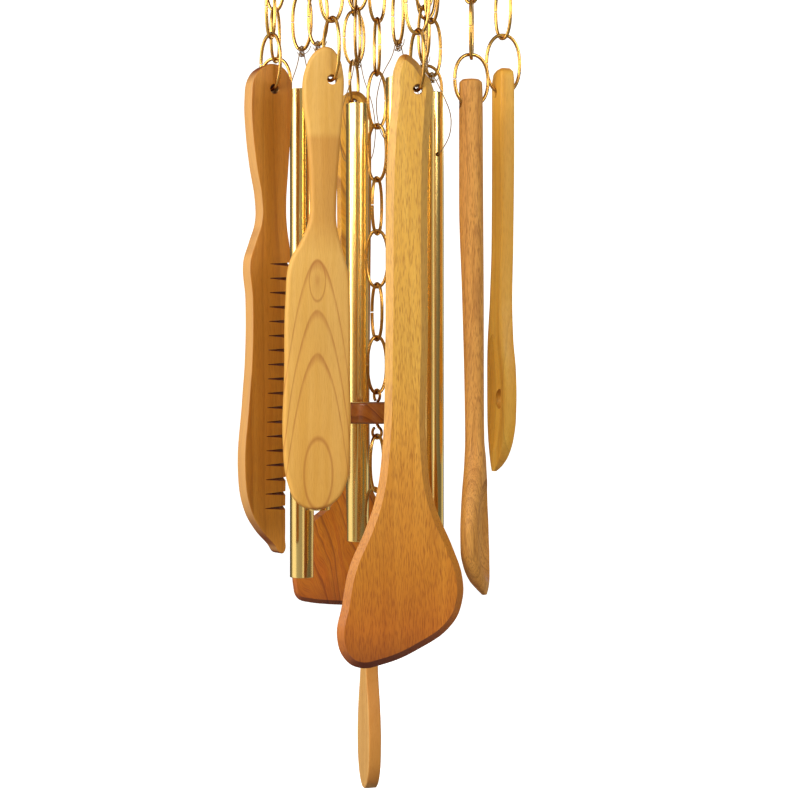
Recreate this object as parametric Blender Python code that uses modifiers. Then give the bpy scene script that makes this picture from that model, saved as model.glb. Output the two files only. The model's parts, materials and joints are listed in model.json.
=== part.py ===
"""Wind chime: wooden kitchen utensils and brass tubes on brass chains, in metres, +Z up.

The origin is where a hook bears inside the hanging ring, and everything hangs below it. -Y is the
front. Lengths in this file are millimetres, and every point is multiplied by MM as it is made.
An azimuth is an angle from +X towards +Y, seen from above.
"""

import math

import bmesh
import bpy
from mathutils import Matrix, Vector

MM = 0.001
GAP = 0.3  # running clearance between pieces that touch

# Top board and its hanging ring.
BOARD_RADIUS = 75.0
BOARD_TOP = -38.0
BOARD_THICKNESS = 14.0
BOARD_UNDERSIDE = BOARD_TOP - BOARD_THICKNESS
BOARD_EDGE = 2.0
PILOT_RADIUS = 1.35
PILOT_DEPTH = 9.0
SHANK_IN_WOOD = 8.0
TOP_EYE_WIRE = 2.4
TOP_EYE_RADIUS = 5.5
TOP_EYE_Z = -29.5
TOP_EYE_SHANK = 4.5  # in the wood, where it stops above the centre chain's pilot hole
TOP_PILOT_RADIUS = 1.6
RING_WIRE = 2.4
RING_GAP = 0.4
RING_LOW = TOP_EYE_Z + TOP_EYE_RADIUS - TOP_EYE_WIRE / 2 - RING_GAP - RING_WIRE / 2
RING_RADIUS = (RING_WIRE / 2 - RING_LOW) / 2  # of the wire's centre line: its inner top is the origin

# Screw eyes and chain.
EYE_WIRE = 1.8
EYE_RADIUS = 4.2
STRIKER_EYE_WIRE = 1.5
STRIKER_EYE_RADIUS = 2.85
WIRE = 1.7
LINK_LENGTH = 29.4
LINK_WIDTH = 12.5
PITCH = 26.5
RING_WIDTH = 18.3
LINK_CORNERS = ((0.31, 1.0), (0.97, 0.58))  # of a quarter, as shares of half its width and length
RING_CORNERS = ((0.0, 1.0), (0.55, 0.9), (0.9, 0.58), (1.0, 0.0))

# Tubes and their nylon line.
TUBE_RADIUS = 6.0
TUBE_BORE = 5.0
TUBE_SIDES = 20
CROSS_HOLE_RADIUS = 1.1
NYLON = 0.5

# Striker and its place on the centre chain.
STRIKER_RADIUS = 19.0
STRIKER_THICKNESS = 10.5
STRIKER_TOP = -297.1
STRIKER_EDGE = 0.8
STRIKER_PILOT_DEPTH = 4.2
STRIKER_SHANK = 3.8
LOWER_DROP = 5.3  # from the striker's underside to the top of the first link below it

# Wood pieces: a hole of this radius takes the ring, its centre this far above the ring's low point.
HOLE_RADIUS = 3.1
HOLE_LIFT = 0.8
ROUND_HOLE_LIFT = 1.5  # in the round handles
BOWL_HOLE_RADIUS = 5.0
BOWL_HOLE_HEIGHT = -152.7
KNIFE_THICKNESS = 8.0
SPATULA_THICKNESS = 7.0
TURNER_THICKNESS = 8.0
DARK_TURNER_THICKNESS = 7.0
SAIL_THICKNESS = 6.4

# How far each wooden piece is turned about Z from facing the front.
TURNS = {
    "serrated_knife": 33,
    "spatula": 10,
    "slanted_turner": 4,
    "dark_turner": -4,
    "round_spoon": 77,
    "risotto_spoon": -75,
    "stirring_stick": 84,
    "back_spoon": -85,
    "sail": -76,
}
ROUND_SPOON_HOLE_TURN = 107
RISOTTO_SPOON_HOLE_TURN = -80

COLOURS = {  # colour, roughness, metallic
    "board_wood": ((0.55, 0.28, 0.10, 1), 0.45, 0.0),
    "brass": ((0.83, 0.62, 0.27, 1), 0.25, 1.0),
    "tube_brass": ((0.86, 0.68, 0.32, 1), 0.22, 1.0),
    "knife_wood": ((0.62, 0.33, 0.10, 1), 0.5, 0.0),
    "spatula_wood": ((0.72, 0.46, 0.20, 1), 0.5, 0.0),
    "turner_wood": ((0.66, 0.38, 0.12, 1), 0.5, 0.0),
    "beech": ((0.64, 0.36, 0.16, 1), 0.5, 0.0),
    "risotto_wood": ((0.66, 0.36, 0.11, 1), 0.5, 0.0),
    "dark_wood": ((0.45, 0.19, 0.05, 1), 0.4, 0.0),
    "striker_wood": ((0.50, 0.26, 0.09, 1), 0.35, 0.0),
    "sail_wood": ((0.55, 0.28, 0.09, 1), 0.5, 0.0),
    "nylon": ((0.85, 0.85, 0.82, 1), 0.2, 0.0),
}


def clear_scene():
    for obj in list(bpy.data.objects):
        bpy.data.objects.remove(obj)


def new_collection(name):
    made = bpy.data.collections.new(name)
    bpy.context.scene.collection.children.link(made)
    return made


clear_scene()
PARTS = new_collection("wind_chime")
CUTTERS = new_collection("cutters")
CUTTERS.hide_render = True


# Shared tools.


def material(name):
    found = bpy.data.materials.get(name)
    if found:
        return found
    made = bpy.data.materials.new(name)
    made.use_nodes = True
    colour, roughness, metallic = COLOURS[name]
    shader = made.node_tree.nodes["Principled BSDF"]
    shader.inputs["Base Color"].default_value = colour
    shader.inputs["Roughness"].default_value = roughness
    shader.inputs["Metallic"].default_value = metallic
    made.diffuse_color = colour
    return made


def add_part(name, mesh, finish, at=(0, 0, 0), parent=None):
    """A named part with its origin at `at`, which is in world millimetres."""
    obj = bpy.data.objects.new(name, mesh)
    mesh.materials.clear()
    mesh.materials.append(material(finish))
    PARTS.objects.link(obj)
    origin = Vector(at) * MM
    obj["origin_mm"] = [float(value) for value in at]
    if parent:
        obj.parent = parent
        origin -= Vector(parent["origin_mm"]) * MM
    obj.location = origin
    return obj


def add_cutter(name, mesh, at=(0, 0, 0)):
    obj = bpy.data.objects.new(name, mesh)
    CUTTERS.objects.link(obj)
    obj.location = Vector(at) * MM
    obj.hide_render = True
    obj.display_type = "WIRE"
    return obj


def boolean(obj, other, operation="DIFFERENCE"):
    modifier = obj.modifiers.new(operation.title(), "BOOLEAN")
    modifier.operation = operation
    modifier.object = other
    modifier.solver = "EXACT"


def mesh_of_curve(curve, name):
    """The curve's evaluated mesh, with its caps welded on."""
    holder = bpy.data.objects.new("curve_holder", curve)
    bpy.context.scene.collection.objects.link(holder)
    bpy.context.view_layer.update()
    evaluated = holder.evaluated_get(bpy.context.evaluated_depsgraph_get())
    mesh = bpy.data.meshes.new_from_object(evaluated)
    mesh.name = name
    bpy.data.objects.remove(holder)
    bm = bmesh.new()
    bm.from_mesh(mesh)
    bmesh.ops.remove_doubles(bm, verts=bm.verts, dist=0.00001)
    bmesh.ops.recalc_face_normals(bm, faces=bm.faces)
    bm.to_mesh(mesh)
    bm.free()
    return mesh


def bends(path, cyclic):
    """How far the path turns at each point, in radians, so that a wire keeps its thickness there."""
    path = [Vector(place) for place in path]
    befores = [path[-1] if cyclic else path[0], *path[:-1]]
    afters = [*path[1:], path[0] if cyclic else path[-1]]
    return [
        (here - before).angle(after - here, 0.0)
        for before, here, after in zip(befores, path, afters)
    ]


def wire_mesh(name, paths, thickness, cyclic, resolution=1):
    """A round wire along each list of points, in one mesh."""
    curve = bpy.data.curves.new(name, "CURVE")
    curve.dimensions = "3D"
    curve.bevel_depth = thickness / 2 * MM
    curve.bevel_resolution = resolution
    curve.use_fill_caps = True
    for path in paths:
        spline = curve.splines.new("POLY")
        spline.points.add(len(path) - 1)
        for point, place in zip(spline.points, path):
            point.co = (*(Vector(place) * MM), 1)
        for point, bend in zip(spline.points, bends(path, cyclic)):
            point.radius = 1 / math.cos(min(bend, 0.9) / 2)
        spline.use_cyclic_u = cyclic
    return mesh_of_curve(curve, name)


def cylinder_mesh(name, radius, low, high, sides, axis="Z", centre=(0, 0, 0)):
    """A cylinder from low to high along X, Y or Z through centre."""
    bm = bmesh.new()
    bmesh.ops.create_cone(
        bm,
        cap_ends=True,
        segments=sides,
        radius1=radius * MM,
        radius2=radius * MM,
        depth=(high - low) * MM,
    )
    turn = {
        "Z": Matrix(),
        "X": Matrix.Rotation(math.pi / 2, 4, "Y"),
        "Y": Matrix.Rotation(-math.pi / 2, 4, "X"),
    }[axis]
    along = turn.to_3x3() @ Vector((0, 0, (low + high) / 2))
    bmesh.ops.transform(bm, matrix=turn, verts=bm.verts)
    bmesh.ops.translate(bm, vec=(Vector(centre) + along) * MM, verts=bm.verts)
    mesh = bpy.data.meshes.new(name)
    bm.to_mesh(mesh)
    bm.free()
    return mesh


def smooth_path(points, steps):
    """Points on a Catmull-Rom curve through the given ones."""
    points = [Vector(point) for point in points]
    ends = [points[0] * 2 - points[1], *points, points[-1] * 2 - points[-2]]
    path = []
    for before, start, end, after in zip(ends, ends[1:], ends[2:], ends[3:]):
        for step in range(steps):
            t = step / steps
            path.append(
                0.5
                * (
                    2 * start
                    + (end - before) * t
                    + (2 * before - 5 * start + 4 * end - after) * t**2
                    + (3 * start - before - 3 * end + after) * t**3
                )
            )
    return path + [points[-1]]


def shade_smooth(obj, angle=40):
    obj.data.shade_smooth()
    obj.data.set_sharp_from_angle(angle=math.radians(angle))


def chamfer(obj, width):
    bevel = obj.modifiers.new("Rounded edge", "BEVEL")
    bevel.width = width * MM
    bevel.segments = 1
    bevel.limit_method = "ANGLE"
    bevel.angle_limit = math.radians(40)


# Board, screw eyes and hanging ring.


def screw_eye(name, parent, wire, radius, centre, azimuth, shank_end, points=9):
    """A wire loop with a straight shank that ends at height shank_end, above or below the loop."""
    up = 1 if shank_end > centre[2] else -1
    across = Vector((math.cos(math.radians(azimuth)), math.sin(math.radians(azimuth)), 0))
    path = [Vector((0, 0, shank_end - centre[2]))]
    for step in range(points + 1):
        turn = math.radians(90 + 324 * step / points)
        path.append(across * radius * math.cos(turn) + Vector((0, 0, up * radius * math.sin(turn))))
    eye = add_part(name, wire_mesh(name, [path], wire, False), "brass", centre, parent)
    shade_smooth(eye)
    return eye


def make_board(places):
    mesh = cylinder_mesh("top_board", BOARD_RADIUS, BOARD_UNDERSIDE, BOARD_TOP, 40)
    board = add_part("top_board", mesh, "board_wood")
    chamfer(board, BOARD_EDGE)
    for number, (x, y) in enumerate(places):
        low, high = BOARD_UNDERSIDE - 1, BOARD_UNDERSIDE + PILOT_DEPTH
        pilot = cylinder_mesh("pilot", PILOT_RADIUS, low, high, 6)
        boolean(board, add_cutter(f"pilot_{number}", pilot, (x, y, 0)))
    # The pilot holes of the top eye and of the centre chain's eye meet in the middle of the board.
    low, high = BOARD_TOP - PILOT_DEPTH, BOARD_TOP + 1
    top_pilot = cylinder_mesh("top_pilot", TOP_PILOT_RADIUS, low, high, 10)
    boolean(board, add_cutter("top_pilot", top_pilot))
    return board


def make_hanging_gear(board):
    """The large screw eye on top, in the XZ plane, and the ring through it, in the YZ plane."""
    screw_eye(
        "hanging_eye", board, TOP_EYE_WIRE, TOP_EYE_RADIUS, (0, 0, TOP_EYE_Z), 0,
        BOARD_TOP - TOP_EYE_SHANK, 12,
    )
    circle = []
    for step in range(24):
        turn = 2 * math.pi * step / 24
        circle.append((0, RING_RADIUS * math.cos(turn), RING_RADIUS * (1 + math.sin(turn))))
    mesh = wire_mesh("hanging_ring", [circle], RING_WIRE, True, 2)
    shade_smooth(add_part("hanging_ring", mesh, "brass", (0, 0, RING_LOW), board))


# Chains.


def oval(length, width, azimuth, middle):
    """The centre line of an upright oval link whose plane points along azimuth."""
    across = Vector((math.cos(math.radians(azimuth)), math.sin(math.radians(azimuth)), 0))
    quarter = RING_CORNERS if width > LINK_WIDTH else LINK_CORNERS
    corners = []
    for mirror_side, mirror_height, order in ((1, 1, 1), (1, -1, -1), (-1, -1, 1), (-1, 1, -1)):
        for side, height in quarter[::order]:
            corner = (mirror_side * side, mirror_height * height)
            if corner not in corners:
                corners.append(corner)
    points = []
    for side, height in corners:
        rise = Vector((0, 0, (length - WIRE) / 2 * height))
        points.append(Vector(middle) + across * (width - WIRE) / 2 * side + rise)
    return points


def make_chain(name, x, y, top, links, parent, lean=0.0):
    """Links from the top one down, as (azimuth, length, width), joined into one body where they touch.

    top is the outer top of the first link. lean moves each next link that much along X.
    """
    ovals = []
    for number, (azimuth, length, width) in enumerate(links):
        middle = (lean * number, 0, WIRE / 2 - length / 2 - PITCH * number)
        ovals.append(oval(length, width, azimuth, middle))
    at = (x, y, top - WIRE / 2)
    chain = add_part(name, wire_mesh(name, ovals[::2], WIRE, True), "brass", at, parent)
    if ovals[1::2]:
        others = wire_mesh(f"{name}_others", ovals[1::2], WIRE, True)
        boolean(chain, add_cutter(f"{name}_others", others, at), "UNION")
    shade_smooth(chain)
    return chain


def plain(*azimuths):
    return [(azimuth, LINK_LENGTH, LINK_WIDTH) for azimuth in azimuths]


def hang_chain(board, name, x, y, top, links, eye_azimuth):
    """A chain and the screw eye that it hangs on, which swing about the eye's own azimuth."""
    bearing = top - WIRE - GAP
    centre = (x, y, bearing + EYE_RADIUS - EYE_WIRE / 2)
    end = BOARD_UNDERSIDE + SHANK_IN_WOOD
    screw_eye(f"{name}_eye", board, EYE_WIRE, EYE_RADIUS, centre, eye_azimuth, end)
    return make_chain(f"{name}_chain", x, y, top, links, board)


# Flat wooden pieces.


def outline_mesh(name, points, thickness, rounding, resolution):
    """A flat piece in the local XY plane. A point is (x, y) on a smooth outline, or (x, y, 1) at a corner."""
    curve = bpy.data.curves.new(name, "CURVE")
    curve.dimensions = "2D"
    curve.fill_mode = "BOTH"
    curve.extrude = (thickness / 2 - rounding) * MM
    curve.bevel_depth = rounding * MM
    curve.bevel_resolution = 0
    curve.offset = -rounding * MM
    curve.resolution_u = resolution
    spline = curve.splines.new("BEZIER")
    spline.bezier_points.add(len(points) - 1)
    for bezier, point in zip(spline.bezier_points, points):
        bezier.co = (point[0] * MM, point[1] * MM, 0)
        kind = "VECTOR" if len(point) > 2 else "AUTO"
        bezier.handle_left_type = kind
        bezier.handle_right_type = kind
    spline.use_cyclic_u = True
    return mesh_of_curve(curve, name)


def stand_up(mesh, turn):
    """Turns a mesh made in the local XY plane upright, facing -Y, and then by turn degrees about Z."""
    matrix = Matrix.Rotation(math.radians(turn), 4, "Z") @ Matrix.Rotation(math.pi / 2, 4, "X")
    mesh.transform(matrix)
    return mesh


def cut_round_hole(obj, name, radius, x, y, turn, reach=15.0, sides=16):
    """A hole through the piece along its face's normal. x and y are in the piece's own plane."""
    mesh = cylinder_mesh(name, radius, -reach, reach, sides, "Z", (x, y, 0))
    cutter = add_cutter(name, stand_up(mesh, turn))
    cutter.location = Vector(obj["origin_mm"]) * MM
    boolean(obj, cutter)


def flat_piece(name, at, points, thickness, finish, parent, rounding=1.0, resolution=2):
    """Its origin is the low point of the ring it hangs on, and points are measured from there."""
    turn = TURNS[name]
    mesh = stand_up(outline_mesh(name, points, thickness, rounding, resolution), turn)
    piece = add_part(name, mesh, finish, at, parent)
    cut_round_hole(piece, f"{name}_hole", HOLE_RADIUS, 0, HOLE_LIFT, turn)
    shade_smooth(piece)
    return piece


KNIFE_OUTLINE = [
    (0.3, 12.1), (6.4, 9.6), (9.9, 1.5), (9.8, -8.0), (9.2, -19.4), (7.8, -38.9), (6.7, -56.0),
    (7.2, -67.0), (8.8, -78.0), (8.8, -88.0), (7.3, -151.0), (6.2, -201.0), (6.1, -218.0),
    (5.8, -224.2), (4.2, -225.2), (-0.2, -220.6), (-7.2, -213.2), (-12.8, -203.6),
    (-16.0, -187.1), (-13.8, -150.6), (-12.3, -131.2), (-12.0, -102.0), (-13.2, -84.0),
    (-10.2, -74.5), (-6.8, -64.0), (-6.9, -53.5), (-9.9, -37.0), (-12.0, -20.0),
    (-12.5, -4.9), (-10.9, 4.6), (-5.9, 10.3),
]
NOTCHES = 18
NOTCH_PITCH = 6.95
NOTCH_HEIGHT = 2.4
NOTCH_DEPTH = 10.5
FIRST_NOTCH = -82.4
FIRST_NOTCH_EDGE = 9.2  # where the knife's edge is at the first notch
NOTCH_EDGE_DROP = 3.0  # how far the edge runs inwards down the row


def make_knife(at, parent):
    """A bread knife of wood with a row of wedge-shaped notches along its right edge."""
    knife = flat_piece("serrated_knife", at, KNIFE_OUTLINE, KNIFE_THICKNESS, "knife_wood", parent)
    bm = bmesh.new()
    for number in range(NOTCHES):
        middle = FIRST_NOTCH - NOTCH_PITCH * number
        edge = FIRST_NOTCH_EDGE - NOTCH_EDGE_DROP * number / NOTCHES
        corners = [
            (edge - NOTCH_DEPTH, middle),
            (edge + 2, middle - NOTCH_HEIGHT * 0.6),
            (edge + 2, middle + NOTCH_HEIGHT * 0.6),
        ]
        back = [bm.verts.new((x * MM, y * MM, -KNIFE_THICKNESS * MM)) for x, y in corners]
        face = bm.faces.new(back)
        made = bmesh.ops.extrude_face_region(bm, geom=[face])["geom"]
        tops = [item for item in made if isinstance(item, bmesh.types.BMVert)]
        bmesh.ops.translate(bm, vec=(0, 0, 2 * KNIFE_THICKNESS * MM), verts=tops)
    bmesh.ops.recalc_face_normals(bm, faces=bm.faces)
    mesh = bpy.data.meshes.new("notches")
    bm.to_mesh(mesh)
    bm.free()
    boolean(knife, add_cutter("knife_notches", stand_up(mesh, TURNS["serrated_knife"]), at))


SPATULA_OUTLINE = [
    (-1.8, 15.3), (2.8, 11.4), (5.3, 3.9), (5.4, -9.6), (4.1, -26.6), (2.1, -58.8), (2.4, -68.6),
    (4.8, -78.6), (7.6, -89.6), (8.6, -104.6), (8.7, -136.6), (8.5, -172.6), (6.8, -188.6),
    (0.8, -197.6), (-7.3, -200.6), (-15.3, -198.1), (-20.3, -188.6), (-22.6, -170.6),
    (-22.0, -136.6), (-21.4, -102.6), (-19.4, -84.6), (-14.0, -74.6), (-10.4, -64.6),
    (-10.1, -54.6), (-11.6, -24.6), (-13.6, -6.6), (-12.2, 4.9), (-7.8, 12.9),
]
TURNER_OUTLINE = [
    (-6.5, 16.6), (-2.2, 14.9), (3.2, 8.6), (6.8, 2.3), (6.4, -8.0), (5.1, -30.0),
    (4.9, -110.0), (5.1, -178.0), (8.4, -194.0), (16.8, -214.0), (21.0, -227.0), (21.0, -238.0),
    (16.4, -248.8), (0.4, -260.6), (-17.3, -267.8), (-27.0, -269.0), (-33.6, -265.2),
    (-37.5, -255.0), (-35.2, -240.0), (-31.6, -222.0), (-24.6, -205.4), (-20.0, -192.0),
    (-16.8, -172.0), (-15.0, -120.0), (-14.5, -52.0), (-13.6, -24.0), (-11.9, -4.0),
    (-10.4, 11.6),
]
DARK_TURNER_OUTLINE = [
    (0.0, 6.6), (5.0, 4.8), (8.4, -2.0), (9.1, -20.0), (9.1, -200.0), (11.5, -209.5),
    (28.0, -226.0), (32.3, -233.0), (32.7, -240.0), (32.7, -257.3), (30.6, -263.7),
    (26.0, -265.8), (-26.0, -265.8), (-30.6, -263.7), (-32.7, -257.3), (-32.7, -240.0),
    (-32.3, -233.0), (-28.0, -226.0), (-11.5, -209.5), (-9.1, -200.0), (-9.1, -20.0),
    (-8.4, -2.0), (-5.0, 4.8),
]
SAIL_OUTLINE = [
    (0.0, 7.2), (4.4, 5.0), (5.7, -2.0), (6.2, -10.0), (8.2, -19.0), (10.6, -27.5),
    (12.5, -38.0), (13.0, -48.0), (10.4, -62.5), (4.6, -69.8), (0.0, -71.2), (-4.6, -69.8),
    (-10.4, -62.5), (-13.0, -48.0), (-12.5, -38.0), (-10.6, -27.5), (-8.2, -19.0),
    (-6.2, -10.0), (-5.7, -2.0), (-4.4, 5.0),
]


# Lofted wooden pieces: spoons and the stirring stick.


def loft_mesh(name, stations, sides, power):
    """Rounded sections down the piece, as (height, half width, front, back). Front is towards -Y."""
    bm = bmesh.new()
    rings = []
    for height, half_width, front, back in stations:
        ring = []
        for step in range(sides):
            turn = 2 * math.pi * (step + 0.5) / sides
            across, out = math.cos(turn), math.sin(turn)
            across = math.copysign(abs(across) ** (2 / power), across)
            out = math.copysign(abs(out) ** (2 / power), out)
            depth = (front + back) / 2 + (front - back) / 2 * out
            ring.append(bm.verts.new((half_width * across * MM, height * MM, depth * MM)))
        rings.append(ring)
    for upper, lower in zip(rings, rings[1:]):
        for one in range(sides):
            two = (one + 1) % sides
            bm.faces.new((upper[one], upper[two], lower[two], lower[one]))
    bm.faces.new(rings[0])
    bm.faces.new(rings[-1])
    bmesh.ops.recalc_face_normals(bm, faces=bm.faces)
    mesh = bpy.data.meshes.new(name)
    bm.to_mesh(mesh)
    bm.free()
    return mesh


def lofted_piece(name, at, stations, finish, parent, sides=12, power=2.2):
    mesh = stand_up(loft_mesh(name, stations, sides, power), TURNS[name])
    return add_part(name, mesh, finish, at, parent)


def hollow_bowl(spoon, name, middle, half_width, half_length, front, depth):
    """Scoops an ellipsoid out of the front of a bowl."""
    bm = bmesh.new()
    bmesh.ops.create_uvsphere(bm, u_segments=16, v_segments=10, radius=1)
    bmesh.ops.scale(bm, vec=(half_width * MM, half_length * MM, depth * MM), verts=bm.verts)
    bmesh.ops.translate(bm, vec=(0, middle * MM, front * MM), verts=bm.verts)
    mesh = bpy.data.meshes.new(name)
    bm.to_mesh(mesh)
    bm.free()
    boolean(spoon, add_cutter(name, stand_up(mesh, TURNS[spoon.name]), spoon["origin_mm"]))


ROUND_SPOON_STATIONS = [
    (12.0, 4.4, 3.9, -4.6), (10.6, 5.6, 5.1, -5.8), (0.0, 5.7, 5.4, -5.9), (-45.0, 5.8, 5.6, -5.9),
    (-93.0, 5.2, 5.9, -4.4), (-141.0, 4.6, 6.0, -3.2), (-160.0, 4.8, 6.2, -3.0),
    (-170.0, 6.4, 7.0, -3.3), (-177.0, 9.2, 7.2, -3.6), (-184.0, 12.6, 7.4, -4.0),
    (-192.0, 15.8, 7.6, -4.2), (-203.0, 18.0, 7.9, -4.4), (-213.0, 17.4, 8.2, -4.3),
    (-221.0, 14.6, 8.3, -2.9), (-227.0, 10.6, 8.3, -0.4), (-231.0, 6.6, 8.0, 2.8),
    (-233.8, 2.6, 7.4, 5.2),
]
RISOTTO_SPOON_STATIONS = [
    (11.6, 4.8, 2.4, -2.4), (9.6, 7.0, 3.5, -3.6), (4.0, 7.8, 4.0, -3.9), (-28.0, 7.8, 4.0, -3.9),
    (-78.0, 7.4, 4.4, -3.5), (-103.0, 8.0, 5.1, -2.8), (-123.0, 10.6, 5.5, -2.6),
    (-138.0, 13.0, 5.1, -3.2), (-150.0, 13.6, 4.9, -3.4), (-163.0, 13.2, 4.9, -3.2),
    (-173.0, 11.6, 4.9, -2.3), (-181.0, 8.2, 5.1, -0.7), (-186.0, 4.6, 5.4, 1.6),
    (-188.8, 1.8, 5.6, 4.0),
]
BACK_SPOON_STATIONS = [
    (8.0, 4.0, 4.0, -4.0), (6.4, 5.4, 5.4, -5.4), (-60.0, 5.2, 5.2, -5.2), (-110.0, 4.8, 4.8, -4.8),
    (-128.0, 6.6, 5.2, -5.4), (-142.0, 12.0, 5.2, -7.0), (-160.0, 16.0, 5.2, -8.4),
    (-174.0, 15.0, 5.2, -7.2), (-185.0, 10.0, 5.2, -3.6), (-190.0, 4.0, 5.0, 1.6),
]
STICK_STATIONS = [
    (8.0, 4.0, 2.0, -2.0), (6.2, 6.0, 3.4, -3.4), (-20.0, 6.6, 3.9, -3.9), (-120.0, 8.0, 4.0, -4.0),
    (-186.0, 10.0, 4.0, -4.0), (-196.0, 8.0, 3.6, -3.6), (-200.0, 4.4, 2.2, -2.2),
]
# Each bowl's ellipsoid: its middle height, half width, half length, front and depth.
ROUND_BOWL = (-203.0, 15.4, 25.0, 9.2, 8.4)
RISOTTO_BOWL = (-150.0, 11.4, 30.0, 6.3, 4.4)
BACK_BOWL = (-159.0, 13.0, 24.0, 6.0, 9.0)
RISOTTO_POWER = 4.0  # a squarer section than the other spoons'
TURNER_EDGE = 1.4


# Tubes and nylon.


def make_tube(name, at, top, length, hole_drop, hole_azimuth, parent):
    """An open brass tube whose cross-hole takes the nylon. Its origin is on the link that carries it."""
    top -= at[2]
    outer = cylinder_mesh(name, TUBE_RADIUS, top - length, top, TUBE_SIDES)
    tube = add_part(name, outer, "tube_brass", at, parent)
    bore = cylinder_mesh(f"{name}_bore", TUBE_BORE, top - length - 1, top + 1, TUBE_SIDES)
    boolean(tube, add_cutter(f"{name}_bore", bore, at))
    middle = (0, 0, top - hole_drop)
    reach = TUBE_RADIUS * 1.5
    hole = cylinder_mesh(f"{name}_hole", CROSS_HOLE_RADIUS, -reach, reach, 8, "X", middle)
    hole.transform(Matrix.Rotation(math.radians(hole_azimuth), 4, "Z"))
    boolean(tube, add_cutter(f"{name}_hole", hole, at))
    shade_smooth(tube)
    return tube


def nylon_route(rise, drop, hole_azimuth, link_azimuth, bulge):
    """The loop's own points, from inside the bore out of one hole, over the link's wire and back in.

    rise is the height of the link's wire above the cross-hole, and drop is that of the tube's rim.
    """
    half = [
        (0.5, 0.0), (7.0, 0.4), (8.4 + bulge * 0.7, drop * 0.3), (8.2 + bulge, drop * 0.65),
        (7.0 + bulge * 0.5, drop + 0.6), (3.4, (rise + drop) / 2 + 1.5), (1.65, rise - 0.9),
        (1.4, rise + 0.8),
    ]
    sides = []
    for sign in (1, -1):
        points = []
        for out, height in half:
            share = min(max(0.0, (height / drop - 0.6) / (rise / drop - 0.6)), 1.0)
            turn = math.radians(hole_azimuth + (link_azimuth + 90 - hole_azimuth) * share)
            points.append((sign * out * math.cos(turn), sign * out * math.sin(turn), height))
        sides.append(points)
    over = [(0, 0, rise + 1.6)]
    return sides[0] + over + sides[1][::-1]


def make_nylon(name, tube, hole_z, top_z, drop, hole_azimuth, link_azimuth, bulge):
    route = nylon_route(top_z - hole_z, drop, hole_azimuth, link_azimuth, bulge)
    x, y, _ = tube["origin_mm"]
    path = smooth_path(route, 2)
    mesh = wire_mesh(name, [path], NYLON, False, 2)
    mesh.transform(Matrix.Translation(Vector((0, 0, (hole_z - top_z) * MM))))
    shade_smooth(add_part(name, mesh, "nylon", (x, y, top_z), tube))


# The whole chime.

# name, x, y, outer top of the first link, azimuths of the two links and the ring, ring length
UTENSIL_CHAINS = [
    ("knife", -51.4, -24.0, -64.5, (10.0, 72.0, -52.0), 28.5),
    ("spatula", -20.7, -55.0, -63.1, (-110.0, 12.0, -62.0), 30.8),
    ("turner", 19.5, -57.0, -69.2, (-71.0, 0.0, -68.0), 29.7),
    ("round_spoon", 45.6, -37.0, -76.9, (-39.0, 83.0, 17.0), 25.6),
    ("risotto_spoon", 63.0, -1.0, -60.2, (8.0, -50.0, 8.0), 30.3),
    ("dark_turner", -12.9, 57.0, -62.1, (103.0, 12.0, 76.0), 24.2),
    ("stick", -53.0, 30.0, -65.9, (151.0, 70.0, -15.0), 28.0),
    ("back_spoon", 25.4, 52.0, -65.5, (25.0, 85.0, 5.0), 27.0),
]

# name, x, y, outer bottom of the last link, its azimuth, tube top, length, hole drop, hole azimuth, bulge
TUBES = [
    ("a", -37.2, -6.0, -122.6, -29.0, -142.0, 241.8, 27.8, 12.0, -0.8),
    ("b", -10.5, 34.0, -120.5, -103.0, -142.4, 227.2, 29.1, -15.0, 1.2),
    ("c", 27.3, -4.0, -135.3, -145.0, -143.2, 217.3, 30.9, -62.0, 1.6),
    ("d", 10.5, -33.0, -125.1, -62.0, -141.0, 250.5, 29.0, 15.0, 2.4),
    ("e", -28.4, -24.0, -123.8, -30.0, -142.5, 206.7, 29.0, 50.0, 0.4),
    ("f", 23.9, 27.0, -121.8, -60.0, -142.5, 216.0, 29.0, 20.0, 0.4),
]
CENTRE_TOP = -78.2
CENTRE_EYE_AZIMUTH = -20.0
CENTRE_LINKS = plain(45, 105, 35, 149, 65, 175, 118, 31)
LOWER_RING_LENGTH = 27.0
LOWER_LINKS = [*plain(53, -30, 60), (-5, LOWER_RING_LENGTH, RING_WIDTH)]
LOWER_LEAN = -1.3


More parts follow.
